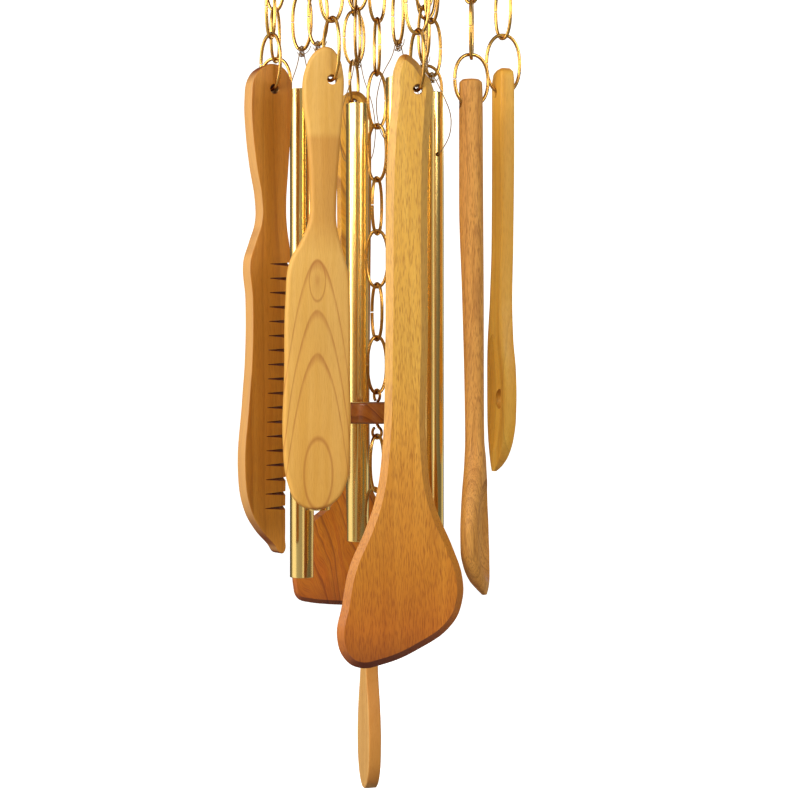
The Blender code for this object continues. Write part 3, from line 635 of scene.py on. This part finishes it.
# Nylon lines, which are the cords: out of one cross-hole, over the last link and into the other.

WRAP_TURNS = 2.5
WRAP_STEPS = 60
WRAP_RADIUS = 1.35
WRAP_WIDTH = 3.0
BUNDLE_STEPS = 48
BUNDLE_WIDTH = 1.15


def nylon_route(rise, drop, hole_azimuth, link_azimuth, bulge, swing):
    """The loop's own points, as in the CAD source but for the swing, with heights from the cross-hole.

    swing is how far each strand has swung round the tube half way up to the rim.
    """
    half = [
        (0.5, 0.0), (7.0, 0.4), (8.4 + bulge * 0.7, drop * 0.3), (8.2 + bulge, drop * 0.65),
        (7.0 + bulge * 0.5, drop + 0.6), (3.4, (rise + drop) / 2 + 1.5), (1.65, rise - 0.9),
        (1.4, rise + 0.8),
    ]
    sides = []
    for sign in (1, -1):
        points = []
        for out, height in half:
            share = min(max(0.0, (height / drop - 0.6) / (rise / drop - 0.6)), 1.0)
            turn = hole_azimuth + (link_azimuth + 90 - hole_azimuth) * share
            turn = math.radians(turn + swing * max(0.0, math.sin(math.pi * min(height / drop, 1.0))))
            points.append((sign * out * math.cos(turn), sign * out * math.sin(turn), height))
        sides.append(points)
    return sides[0] + [(0, 0, rise + 1.6)] + sides[1][::-1]


def knot_mesh(name, azimuth):
    """Turns of line round the link's wire, the knot below them and two cut ends, about the wire's middle."""
    bm = bmesh.new()
    along = across(azimuth)
    out = across(azimuth + 90)
    up = Vector((0, 0, 1))
    wraps = []
    for step in range(WRAP_STEPS + 1):
        turn = 2 * math.pi * WRAP_TURNS * step / WRAP_STEPS
        round_wire = (out * math.cos(turn) + up * math.sin(turn)) * WRAP_RADIUS
        wraps.append(along * WRAP_WIDTH * (0.5 - step / WRAP_STEPS) + round_wire)
    add_sweep(bm, wraps, NYLON / 2, 8)
    bundle = []
    for step in range(BUNDLE_STEPS):
        turn = 2 * math.pi * step / BUNDLE_STEPS
        reach = 0.9 + 0.45 * math.cos(3 * turn)
        place = out * reach * math.cos(2 * turn) + along * reach * math.sin(2 * turn)
        bundle.append(place * BUNDLE_WIDTH + up * (-2.6 + 0.75 * math.sin(3 * turn)))
    add_sweep(bm, bundle, NYLON / 2, 8, True)
    for sign, reach in ((1, 4.6), (-1, 3.4)):
        end = [
            up * -2.4,
            up * -1.9 + along * sign * 1.6 + out * 0.8,
            up * (-1.2 + sign * 0.8) + along * sign * reach * 0.7 + out * 1.3,
            up * (0.4 + sign * 1.2) + along * sign * reach + out * 0.9,
        ]
        add_sweep(bm, smooth_path(end, 4), NYLON * 0.42, 8)
    return mesh_from(bm, name)


def make_nylon(name):
    """A tube's loop of line and its knot. The loop is the cord, and the knot goes with it."""
    tube = f"tube_{name}"
    cord = f"nylon_{name}"
    x, y, wire_z = PIVOT[tube]
    hole_z = low_z(cord) + NYLON / 2
    route = nylon_route(
        wire_z - hole_z, high_z(tube) - hole_z, TUBE_HOLE[name], TUBE_LINK[name], TUBE_BULGE[name],
        TUBE_SWING.get(name, 0),
    )
    path = [Vector((x, y, hole_z)) + point for point in smooth_path(route, 6)]
    line = new_object(cord + "_line", sweep_mesh(cord, path, NYLON / 2, 10))
    smooth(line, 60)
    knot = new_object(cord + "_knot", knot_mesh(cord + "_knot", TUBE_LINK[name]))
    knot.location = Vector((x, y, wire_z - 0.3)) * MM
    smooth(knot, 60)
    finish(line, "nylon", tube, cord)
    finish(knot, "nylon", tube)


for letter in TUBE_LINK:
    make_nylon(letter)


# Chains, split rings and screw eyes.


def oval_path(length, width, azimuth, middle, opening):
    """A link's centre line from one side of its butt joint to the other. opening is 0 or 180."""
    points = 56
    side = across(azimuth)
    start = math.radians(opening)
    gap = BUTT_GAP / length * 2
    path = []
    for step in range(points + 1):
        turn = start + gap + (2 * math.pi - 2 * gap) * step / points
        wide = math.copysign(abs(math.cos(turn)) ** (2 / LINK_POWER), math.cos(turn))
        tall = math.copysign(abs(math.sin(turn)) ** (2 / LINK_POWER), math.sin(turn))
        path.append(Vector(middle) + side * wide * width / 2 + Vector((0, 0, tall * length / 2)))
    return path


def make_link(name, length, width, azimuth, middle, opening, node):
    mesh = sweep_mesh(name, oval_path(length, width, azimuth, middle, opening), WIRE / 2, 14)
    link = new_object(name, mesh)
    smooth(link, 50)
    finish(link, "brass", node, node)


def make_chain(node, azimuths, x, y, first_middle, ring=None, lean=0.0):
    """Its plain links from the top one, whose middle height is given. ring is its azimuth and low point."""
    lowest = first_middle
    for number, azimuth in enumerate(azimuths):
        middle = (x + lean * number, y, first_middle - PITCH * number)
        lowest = middle[2] - LINK_LINE / 2
        opening = 180 if number % 3 == 1 else 0
        name = f"{node}_link_{number + 1}"
        make_link(name, LINK_LINE, LINK_ACROSS, azimuth, middle, opening, node)
    if ring:
        azimuth, low = ring
        top = lowest + WIRE + CLOSE
        middle = (x + lean * len(azimuths), y, (top + low) / 2)
        make_link(f"{node}_ring", top - low, RING_ACROSS, azimuth, middle, 180, node)


def eye_mesh(name, wire, radius, azimuth, stem, up):
    """A screw eye about its loop's centre, with a thread on its stem, which is that long above the loop."""
    side = across(azimuth)
    rise = Vector((0, 0, up))
    ready = radius + wire * 1.4
    stem_points = []
    length = max(stem, ready + 0.5)
    steps = max(6, round((length - ready) / THREAD_STEP))
    for step in range(steps + 1):
        stem_points.append(rise * (length - (length - ready) * step / steps))
    bend = [
        rise * (radius + wire * 0.9) - side * wire * 0.06,
        rise * (radius + wire * 0.42) - side * wire * 0.38,
    ]
    loop = []
    for step in range(45):
        turn = math.radians(90 + 26 + 300 * step / 44)
        loop.append((side * math.cos(turn) + rise * math.sin(turn)) * radius)
    path = smooth_path([*stem_points[-2:], *bend, *loop], 2)
    threaded = length - ready

    def thickness(travelled, turn):
        if travelled > threaded:
            return wire / 2
        ridge = max(0.0, math.cos(2 * math.pi * travelled / THREAD_PITCH - turn))
        fade = min(1.0, (threaded - travelled) / THREAD_PITCH)
        return wire / 2 + THREAD_HEIGHT * ridge * fade

    return sweep_mesh(name, stem_points[:-2] + path, thickness, 14)


def make_eye(name, body, wire, radius, azimuth, centre, stem, up=1):
    eye = new_object(name + "_wire", eye_mesh(name, wire, radius, azimuth, stem, up))
    eye.location = Vector(centre) * MM
    smooth(eye, 50)
    finish(eye, "brass", body, name)


def make_hung_chain(name, azimuths, eye_azimuth, ring=None):
    """A chain with the screw eye that it hangs on. The chain's joint is the eye's bottom wire."""
    node = f"{name}_chain"
    x, y, eye_wire_z = PIVOT[node]
    top = eye_wire_z + EYE_WIRE / 2 + GAP + WIRE
    middle = top - CAD_LINK / 2
    make_chain(node, azimuths, x, y, middle, ring)
    under_top_wire = middle + LINK_LINE / 2 - WIRE / 2
    centre_z = under_top_wire - CLOSE - EYE_WIRE / 2 + EYE_RADIUS
    stem = high_z(f"{name}_eye") - centre_z
    make_eye(f"{name}_eye", "board", EYE_WIRE, EYE_RADIUS, eye_azimuth, (x, y, centre_z), stem)


for name, azimuths in UTENSIL_LINKS.items():
    low = PIVOT[UTENSIL_OF[name]].z
    make_hung_chain(name, azimuths[:2], azimuths[0] + 90, (azimuths[2], low))
for letter, azimuth in TUBE_LINK.items():
    make_hung_chain(f"tube_{letter}", (azimuth + 90, azimuth), azimuth)
make_hung_chain("centre", CENTRE_LINKS, CENTRE_EYE)

lower_top = PIVOT["lower_chain"].z + STRIKER_EYE_WIRE / 2 + GAP + WIRE
make_chain(
    "lower_chain", LOWER_LINKS, 0, 0, lower_top - CAD_LINK / 2, (LOWER_RING, PIVOT["sail"].z), LOWER_LEAN
)


# Wooden pieces.


def stand(obj, body, turn, slot):
    """Puts a piece that is built about its hanging point at its joint, turned about Z."""
    obj.location = PIVOT[body] * MM
    obj.rotation_euler = (0, 0, math.radians(turn))
    smooth(obj, 30)
    finish(obj, slot, body, body)


def outline_mesh(name, points, thickness, rounding, steps):
    """A flat piece with rounded edges, its face in XZ and its smooth outline through the points."""
    curve = bpy.data.curves.new(name, "CURVE")
    curve.dimensions = "2D"
    curve.fill_mode = "BOTH"
    curve.extrude = (thickness / 2 - rounding) * MM
    curve.bevel_depth = rounding * MM
    curve.bevel_resolution = steps
    curve.offset = -rounding * MM
    curve.resolution_u = 7
    spline = curve.splines.new("BEZIER")
    spline.bezier_points.add(len(points) - 1)
    for bezier, (x, z) in zip(spline.bezier_points, points):
        bezier.co = (x * MM, z * MM, 0)
        bezier.handle_left_type = "AUTO"
        bezier.handle_right_type = "AUTO"
    spline.use_cyclic_u = True
    holder = new_object("curve_holder", curve)
    bpy.context.view_layer.update()
    evaluated = holder.evaluated_get(bpy.context.evaluated_depsgraph_get())
    mesh = bpy.data.meshes.new_from_object(evaluated)
    bpy.data.objects.remove(holder)
    bm = bmesh.new()
    bm.from_mesh(mesh)
    bmesh.ops.remove_doubles(bm, verts=bm.verts, dist=0.01 * MM)
    mesh = mesh_from(bm, name)
    mesh.transform(Matrix.Rotation(math.pi / 2, 4, "X"))
    return mesh


def flat_piece(body, turn, points, thickness, slot, rounding=1.0, cutters=(), steps=3, hole=HOLE_RADIUS):
    """steps is how many facets round each edge beyond the first, and 0 leaves a chamfer."""
    obj = new_object(body + "_wood", outline_mesh(body, points, thickness, rounding, steps))
    cut(obj, [place_hole(flared_hole(hole, thickness / 2), HOLE_LIFT), *cutters])
    stand(obj, body, turn, slot)


KNIFE_OUTLINE = [
    (0.3, 12.1), (6.4, 9.6), (9.9, 1.5), (9.8, -8.0), (9.2, -19.4), (7.8, -38.9), (6.7, -56.0),
    (7.2, -67.0), (8.8, -78.0), (8.8, -88.0), (7.3, -151.0), (6.2, -201.0), (6.1, -218.0),
    (5.8, -224.2), (4.2, -225.2), (-0.2, -220.6), (-7.2, -213.2), (-12.8, -203.6),
    (-16.0, -187.1), (-13.8, -150.6), (-12.3, -131.2), (-12.0, -102.0), (-13.2, -84.0),
    (-10.2, -74.5), (-6.8, -64.0), (-6.9, -53.5), (-9.9, -37.0), (-12.0, -20.0),
    (-12.5, -4.9), (-10.9, 4.6), (-5.9, 10.3),
]
NOTCHES = 18
NOTCH_PITCH = 6.95
NOTCH_HEIGHT = 2.4
NOTCH_DEPTH = 11.5
NOTCH_POINT = 0.3  # height of the cut at its inner end
NOTCH_REACH = 2.0  # past the knife's edge
NOTCH_SPAN = 12.0  # of the cutter through the knife
FIRST_NOTCH = -82.4
NOTCH_RISE = 0.6  # of the saw cut, for each millimetre towards the back
FIRST_NOTCH_EDGE = 9.2  # where the knife's edge is at the first notch
NOTCH_EDGE_DROP = 3.0  # how much further in it is at the last


def notch_mesh(number):
    """One wedge-shaped saw cut into the knife's right edge, which rises from the front to the back."""
    middle = FIRST_NOTCH - NOTCH_PITCH * number
    edge = FIRST_NOTCH_EDGE - NOTCH_EDGE_DROP * number / NOTCHES
    inner = edge - NOTCH_DEPTH
    outer = edge + NOTCH_REACH
    corners = [
        (inner, middle + NOTCH_POINT / 2),
        (inner, middle - NOTCH_POINT / 2),
        (outer, middle - NOTCH_HEIGHT / 2),
        (outer, middle + NOTCH_HEIGHT / 2),
    ]
    front = -NOTCH_SPAN / 2
    rise = NOTCH_SPAN * NOTCH_RISE
    bm = bmesh.new()
    face = bm.faces.new([bm.verts.new((x * MM, front * MM, z * MM)) for x, z in corners])
    made = bmesh.ops.extrude_face_region(bm, geom=[face])["geom"]
    tops = [item for item in made if isinstance(item, bmesh.types.BMVert)]
    bmesh.ops.translate(bm, vec=(0, NOTCH_SPAN * MM, rise * MM), verts=tops)
    bmesh.ops.translate(bm, vec=(0, 0, -rise / 2 * MM), verts=bm.verts)
    return mesh_from(bm, "notch")


SPATULA_OUTLINE = [
    (-1.8, 15.3), (2.8, 11.4), (5.3, 3.9), (5.4, -9.6), (4.1, -26.6), (2.1, -58.8), (2.4, -68.6),
    (4.8, -78.6), (7.6, -89.6), (8.6, -104.6), (8.7, -136.6), (8.5, -172.6), (6.8, -188.6),
    (0.8, -197.6), (-7.3, -200.6), (-15.3, -198.1), (-20.3, -188.6), (-22.6, -170.6),
    (-22.0, -136.6), (-21.4, -102.6), (-19.4, -84.6), (-14.0, -74.6), (-10.4, -64.6),
    (-10.1, -54.6), (-11.6, -24.6), (-13.6, -6.6), (-12.2, 4.9), (-7.8, 12.9),
]
TURNER_OUTLINE = [
    (-6.5, 16.6), (-2.2, 14.9), (3.2, 8.6), (6.8, 2.3), (6.4, -8.0), (5.1, -30.0),
    (4.9, -110.0), (5.1, -178.0), (8.4, -194.0), (16.8, -214.0), (21.0, -227.0), (21.0, -238.0),
    (16.4, -248.8), (0.4, -260.6), (-17.3, -267.8), (-27.0, -269.0), (-33.6, -265.2),
    (-37.5, -255.0), (-35.2, -240.0), (-31.6, -222.0), (-24.6, -205.4), (-20.0, -192.0),
    (-16.8, -172.0), (-15.0, -120.0), (-14.5, -52.0), (-13.6, -24.0), (-11.9, -4.0),
    (-10.4, 11.6),
]
DARK_TURNER_OUTLINE = [
    (0.0, 6.6), (5.0, 4.8), (8.4, -2.0), (9.1, -20.0), (9.1, -200.0), (11.5, -209.5),
    (28.0, -226.0), (32.3, -233.0), (32.7, -240.0), (32.7, -257.3), (30.6, -263.7),
    (26.0, -265.8), (-26.0, -265.8), (-30.6, -263.7), (-32.7, -257.3), (-32.7, -240.0),
    (-32.3, -233.0), (-28.0, -226.0), (-11.5, -209.5), (-9.1, -200.0), (-9.1, -20.0),
    (-8.4, -2.0), (-5.0, 4.8),
]
SAIL_OUTLINE = [
    (0.0, 7.2), (4.4, 5.0), (5.7, -2.0), (6.2, -10.0), (8.2, -19.0), (10.6, -27.5),
    (12.5, -38.0), (13.0, -48.0), (10.4, -62.5), (4.6, -69.8), (0.0, -71.2), (-4.6, -69.8),
    (-10.4, -62.5), (-13.0, -48.0), (-12.5, -38.0), (-10.6, -27.5), (-8.2, -19.0),
    (-6.2, -10.0), (-5.7, -2.0), (-4.4, 5.0),
]

flat_piece(
    "serrated_knife", 33, KNIFE_OUTLINE, 8.0, "knife_wood", 0.6, [notch_mesh(n) for n in range(NOTCHES)]
)
flat_piece("spatula", 10, SPATULA_OUTLINE, 7.0, "spatula_wood", 1.9)
flat_piece("slanted_turner", 4, TURNER_OUTLINE, 8.0, "turner_wood", 3.3, steps=0)
flat_piece("dark_turner", -4, DARK_TURNER_OUTLINE, 7.0, "dark_wood", 2.6, steps=0)
flat_piece("sail", -76, SAIL_OUTLINE, 6.4, "sail_wood", 0.7, hole=SAIL_HOLE_RADIUS)


def eased(heights, values, wanted):
    """A smooth line through the values that never overshoots them, read at the wanted heights."""
    gaps = np.diff(heights)
    slopes = np.diff(values) / gaps
    both = slopes[:-1] * slopes[1:]
    total = slopes[:-1] + slopes[1:]
    tangents = np.zeros(len(heights))
    tangents[1:-1] = np.where(both > 0, 2 * both / np.where(both > 0, total, 1.0), 0.0)
    tangents[0], tangents[-1] = slopes[0], slopes[-1]
    one = np.clip(np.searchsorted(heights, wanted, "right") - 1, 0, len(gaps) - 1)
    t = (wanted - heights[one]) / gaps[one]
    return (
        (1 + 2 * t) * (1 - t) ** 2 * values[one]
        + t * (1 - t) ** 2 * gaps[one] * tangents[one]
        + t * t * (3 - 2 * t) * values[one + 1]
        + t * t * (t - 1) * gaps[one] * tangents[one + 1]
    )


LOFT_SIDES = 44
LOFT_SPACING = 1.6
END_STEPS = np.array([0.25, 0.6, 1.0])  # extra sections near each end, where the outline turns fast


def loft_mesh(name, stations, power):
    """Rounded sections down the piece through (height, half width, front, back). Front is towards -Y."""
    table = np.array(stations)[::-1]
    heights = table[:, 0]
    count = round((heights[-1] - heights[0]) / LOFT_SPACING)
    even = np.linspace(heights[0], heights[-1], count)
    near_ends = [heights[0] + END_STEPS, heights[-1] - END_STEPS]
    wanted = np.unique(np.concatenate([heights, even, *near_ends]))
    wide, front, back = (eased(heights, table[:, column], wanted) for column in (1, 2, 3))
    bm = bmesh.new()
    rings = []
    for height, half_width, before, behind in zip(wanted, wide, front, back):
        ring = []
        for step in range(LOFT_SIDES):
            turn = 2 * math.pi * (step + 0.5) / LOFT_SIDES
            x = math.cos(turn)
            out = math.sin(turn)
            x = math.copysign(abs(x) ** (2 / power), x)
            out = math.copysign(abs(out) ** (2 / power), out)
            depth = (before + behind) / 2 + (before - behind) / 2 * out
            ring.append(bm.verts.new(Vector((half_width * x, -depth, height)) * MM))
        rings.append(ring)
    for lower, upper in zip(rings, rings[1:]):
        for step in range(LOFT_SIDES):
            after = (step + 1) % LOFT_SIDES
            bm.faces.new((lower[step], lower[after], upper[after], upper[step]))
    bm.faces.new(rings[0])
    bm.faces.new(rings[-1])
    return mesh_from(bm, name)


def bowl_mesh(middle, half_width, half_length, front, depth):
    """The ellipsoid that hollows a bowl out of the front."""
    bm = bmesh.new()
    bmesh.ops.create_uvsphere(bm, u_segments=56, v_segments=36, radius=1)
    bmesh.ops.scale(bm, vec=(half_width * MM, depth * MM, half_length * MM), verts=bm.verts)
    bmesh.ops.translate(bm, vec=(0, -front * MM, middle * MM), verts=bm.verts)
    return mesh_from(bm, "bowl")


ROUND_SPOON_STATIONS = [
    (12.0, 4.4, 3.9, -4.6), (10.6, 5.6, 5.1, -5.8), (0.0, 5.7, 5.4, -5.9), (-45.0, 5.8, 5.6, -5.9),
    (-93.0, 5.2, 5.9, -4.4), (-141.0, 4.6, 6.0, -3.2), (-160.0, 4.8, 6.2, -3.0),
    (-170.0, 6.4, 7.0, -3.3), (-177.0, 9.2, 7.2, -3.6), (-184.0, 12.6, 7.4, -4.0),
    (-192.0, 15.8, 7.6, -4.2), (-203.0, 18.0, 7.9, -4.4), (-213.0, 17.4, 8.2, -4.3),
    (-221.0, 14.6, 8.3, -2.9), (-227.0, 10.6, 8.3, -0.4), (-231.0, 6.6, 8.0, 2.8),
    (-233.8, 2.6, 7.4, 5.2),
]
RISOTTO_SPOON_STATIONS = [
    (11.6, 4.8, 2.4, -2.4), (9.6, 7.0, 3.5, -3.6), (4.0, 7.8, 4.0, -3.9), (-28.0, 7.8, 4.0, -3.9),
    (-78.0, 7.4, 4.4, -3.5), (-103.0, 8.0, 5.1, -2.8), (-123.0, 10.6, 5.5, -2.6),
    (-138.0, 13.0, 5.1, -3.2), (-150.0, 13.6, 4.9, -3.4), (-163.0, 13.2, 4.9, -3.2),
    (-173.0, 11.6, 4.9, -2.3), (-181.0, 8.2, 5.1, -0.7), (-186.0, 4.6, 5.4, 1.6),
    (-188.8, 1.8, 5.6, 4.0),
]
BACK_SPOON_STATIONS = [
    (8.0, 4.0, 4.0, -4.0), (6.4, 5.4, 5.4, -5.4), (-60.0, 5.2, 5.2, -5.2), (-110.0, 4.8, 4.8, -4.8),
    (-128.0, 6.6, 5.2, -5.4), (-142.0, 12.0, 5.2, -7.0), (-160.0, 16.0, 5.2, -8.4),
    (-174.0, 15.0, 5.2, -7.2), (-185.0, 10.0, 5.2, -3.6), (-190.0, 4.0, 5.0, 1.6),
]
STICK_STATIONS = [
    (8.0, 4.0, 2.0, -2.0), (6.2, 6.0, 3.4, -3.4), (-20.0, 6.6, 3.9, -3.9), (-120.0, 8.0, 4.0, -4.0),
    (-186.0, 10.0, 4.0, -4.0), (-196.0, 8.0, 3.6, -3.6), (-200.0, 4.4, 2.2, -2.2),
]


def lofted_piece(body, turn, stations, slot, power, hole, bowl=None, extra=()):
    """A spoon or stick. hole is its height, its depth and its turn from the piece's own front."""
    obj = new_object(body + "_wood", loft_mesh(body, stations, power))
    height, depth, hole_turn = hole
    cutters = [place_hole(flared_hole(HOLE_RADIUS, depth), height, hole_turn)]
    if bowl:
        cutters.append(bowl_mesh(*bowl))
    cut(obj, [*cutters, *extra])
    stand(obj, body, turn, slot)


lofted_piece(
    "round_spoon", 77, ROUND_SPOON_STATIONS, "beech", 2.2, (ROUND_HOLE_LIFT, 5.9, 30),
    (-203.0, 15.4, 25.0, 9.2, 8.4),
)
lofted_piece(
    "risotto_spoon", -75, RISOTTO_SPOON_STATIONS, "risotto_wood", 6.0, (HOLE_LIFT, 4.0, -5),
    (-150.0, 11.4, 30.0, 6.3, 4.4), [place_hole(flared_hole(BOWL_HOLE_RADIUS, 3.2, 0.4), -152.7)],
)
lofted_piece("stirring_stick", 84, STICK_STATIONS, "beech", 2.2, (HOLE_LIFT, 3.9, 0))
lofted_piece(
    "back_spoon", -85, BACK_SPOON_STATIONS, "beech", 2.2, (ROUND_HOLE_LIFT, 5.3, 0),
    (-159.0, 13.0, 24.0, 6.0, 9.0),
)


# Tubes.


def make_tube(letter):
    """An open tube with eased rims and a cross-hole for its nylon."""
    node = f"tube_{letter}"
    low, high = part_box(node)
    radius = (high.y - low.y) / 2 / MM
    x, y, _ = PIVOT[node]
    bottom = low.z / MM
    top = high.z / MM
    corners = [(BORE, bottom, 1), (radius, bottom, 1), (radius, top, 1), (BORE, top, 1)]
    tube = new_object(node + "_brass", lathe_mesh(node, rounded(corners, 0.3, 3), 72, True))
    end = radius + CUTTER_REACH
    hole = lathe_mesh("hole", [(0, -end), (CROSS_HOLE, -end), (CROSS_HOLE, end), (0, end)], 24)
    hole.transform(Matrix.Rotation(math.pi / 2, 4, "Y"))
    hole_z = low_z(f"nylon_{letter}") + NYLON / 2
    cut(tube, [place_hole(hole, hole_z, TUBE_HOLE[letter])])
    tube.location = Vector((x, y, 0)) * MM
    smooth(tube, 35)
    finish(tube, "tube_brass", node, node)


for letter in TUBE_LINK:
    make_tube(letter)


# Striker, board and hanging gear.


def make_striker():
    low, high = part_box("striker")
    radius = (high.x - low.x) / 2 / MM
    half = (high.z - low.z) / 2 / MM
    middle = (high.z + low.z) / 2 / MM
    profile = rounded([(0, -half), (radius, -half, 1), (radius, half, 1), (0, half)], 1.3)
    disc = new_object("striker_disc", lathe_mesh("striker", profile, 96))
    disc.location = (0, 0, middle * MM)
    smooth(disc)
    finish(disc, "striker_wood", "striker", "striker")

    inner = STRIKER_EYE_RADIUS - STRIKER_EYE_WIRE / 2
    x, y, top_wire = PIVOT["striker"]
    last_link_wire = top_wire - (LINK_LINE - CAD_LINK + WIRE) / 2
    centre = last_link_wire + WIRE / 2 + CLOSE - inner
    make_eye(
        "striker_top_eye", "striker", STRIKER_EYE_WIRE, STRIKER_EYE_RADIUS, CENTRE_LINKS[-1] + 90,
        (x, y, centre), centre - low_z("striker_top_eye"), -1,
    )
    centre = lower_top - (CAD_LINK - LINK_LINE) / 2 - WIRE / 2 - CLOSE + inner
    make_eye(
        "striker_low_eye", "striker", STRIKER_EYE_WIRE, STRIKER_EYE_RADIUS, LOWER_LINKS[0] + 90,
        (x, y, centre), high_z("striker_low_eye") - centre,
    )


def make_board():
    low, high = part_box("top_board")
    radius = (high.x - low.x) / 2 / MM
    bottom = low.z / MM
    top = high.z / MM
    profile = rounded([(0, bottom), (radius, bottom, 1), (radius, top, 1), (0, top)], 3.0, 6)
    board = new_object("top_board_wood", lathe_mesh("top_board", profile, 144))
    smooth(board)
    finish(board, "board_wood", "board", "top_board")


def make_hanging_gear():
    low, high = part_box("hanging_eye")
    centre = (0, 0, high.z / MM - TOP_EYE_RADIUS - TOP_EYE_WIRE / 2)
    make_eye(
        "hanging_eye", "board", TOP_EYE_WIRE, TOP_EYE_RADIUS, 0, centre, centre[2] - low.z / MM, -1
    )
    low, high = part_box("hanging_ring")
    outer = (high.z - low.z) / 2 / MM
    middle = (high.z + low.z) / 2 / MM
    radius = outer - RING_WIRE / 2
    path = []
    for step in range(97):
        turn = math.radians(RING_OPENING / 2 + (360 - RING_OPENING) * step / 96)
        path.append((0, radius * math.cos(turn), middle + radius * math.sin(turn)))
    ring = new_object("hanging_ring_wire", sweep_mesh("hanging_ring", path, RING_WIRE / 2, 18))
    smooth(ring, 50)
    finish(ring, "brass", "hanging_ring", "hanging_ring")


make_striker()
make_board()
make_hanging_gear()


# Studio.


def plain_white():
    s = Shader("backdrop")
    s.set(Base_Color=(0.9, 0.9, 0.89, 1), Roughness=0.9)
    s.set(Emission_Color=(1, 1, 1, 1), Emission_Strength=0.75)
    return s.material


def make_backdrop():
    """A wide pale floor that curves up into a wall all round, well outside every camera."""
    floor_z = -640.0
    wide = 3200.0
    tall = 2600.0
    bend = 900.0
    sides = 64
    profile = []
    for step in range(13):
        turn = math.pi / 2 * step / 12
        profile.append((wide - bend + bend * math.sin(turn), floor_z + bend * (1 - math.cos(turn))))
    profile.append((wide, floor_z + tall))
    bm = bmesh.new()
    rings = []
    for radius, height in profile:
        ring = []
        for step in range(sides):
            place = across(360 * step / sides) * radius + Vector((0, 0, height))
            ring.append(bm.verts.new(place * MM))
        rings.append(ring)
    bm.faces.new(rings[0])
    for one, two in zip(rings, rings[1:]):
        for step in range(sides):
            after = (step + 1) % sides
            bm.faces.new((one[step], one[after], two[after], two[step]))
    backdrop = new_object("backdrop", mesh_from(bm, "backdrop"))
    backdrop.data.shade_smooth()
    backdrop.data.materials.append(plain_white())
    backdrop.visible_diffuse = False
    backdrop.visible_glossy = False
    backdrop.visible_transmission = False
    backdrop.visible_shadow = False


LIGHT_AIM = Vector((0, 0, -300))


def area_light(name, at, size, power):
    data = bpy.data.lights.new(name, "AREA")
    data.shape = "RECTANGLE"
    data.size, data.size_y = (value * MM for value in size)
    data.energy = power
    light = bpy.data.objects.new(name, data)
    light.location = Vector(at) * MM
    light.rotation_euler = (LIGHT_AIM - Vector(at)).to_track_quat("-Z", "Y").to_euler()
    light.visible_camera = False
    bpy.context.scene.collection.objects.link(light)


# How bright the room is round the horizon, as (degrees round from the front towards +X, brightness).
ROOM = (
    (-180, 0.14), (-130, 0.1), (-108, 0.2), (-99, 1.05), (-60, 1.05), (-48, 0.42), (0, 0.34),
    (8, 0.36), (12, 1.1), (19, 1.1), (25, 0.24), (80, 0.13), (102, 0.16), (112, 0.65), (134, 0.65),
    (144, 0.1), (180, 0.14),
)


def make_room():
    """Light from all round: wide and bright on the left, narrow in front, paler at the back right."""
    world = bpy.data.worlds.new("room")
    bpy.context.scene.world = world
    world.use_nodes = True
    tree = world.node_tree
    coordinates = tree.nodes.new("ShaderNodeTexCoord")
    split = tree.nodes.new("ShaderNodeSeparateXYZ")
    tree.links.new(coordinates.outputs["Generated"], split.inputs[0])
    turned = tree.nodes.new("ShaderNodeMath")
    turned.operation = "MULTIPLY"
    turned.inputs[1].default_value = -1.0
    tree.links.new(split.outputs["Y"], turned.inputs[0])
    angle = tree.nodes.new("ShaderNodeMath")
    angle.operation = "ARCTAN2"
    tree.links.new(split.outputs["X"], angle.inputs[0])
    tree.links.new(turned.outputs[0], angle.inputs[1])
    share = tree.nodes.new("ShaderNodeMapRange")
    share.inputs["From Min"].default_value = -math.pi
    share.inputs["From Max"].default_value = math.pi
    tree.links.new(angle.outputs[0], share.inputs["Value"])
    ramp = tree.nodes.new("ShaderNodeValToRGB")
    elements = ramp.color_ramp.elements
    while len(elements) < len(ROOM):
        elements.new(1.0)
    brightest = max(bright for _, bright in ROOM)
    for element, (degrees, bright) in zip(elements, ROOM):
        element.position = (degrees + 180) / 360
        grey = bright / brightest
        element.color = (grey, grey * 0.97, grey * 0.92, 1)
    tree.links.new(share.outputs[0], ramp.inputs["Fac"])
    background = tree.nodes["Background"]
    tree.links.new(ramp.outputs[0], background.inputs["Color"])
    background.inputs["Strength"].default_value = brightest


make_backdrop()
make_room()
area_light("key", (-830, -990, 330), (650, 500), 12)
area_light("window", (-1300, -380, 60), (500, 900), 7)
area_light("fill", (950, -1050, 300), (500, 500), 8)
area_light("rear", (500, 1100, 400), (800, 700), 5)
area_light("top", (0, -100, 900), (700, 700), 2)
bpy.context.scene.view_settings.view_transform = "Standard"
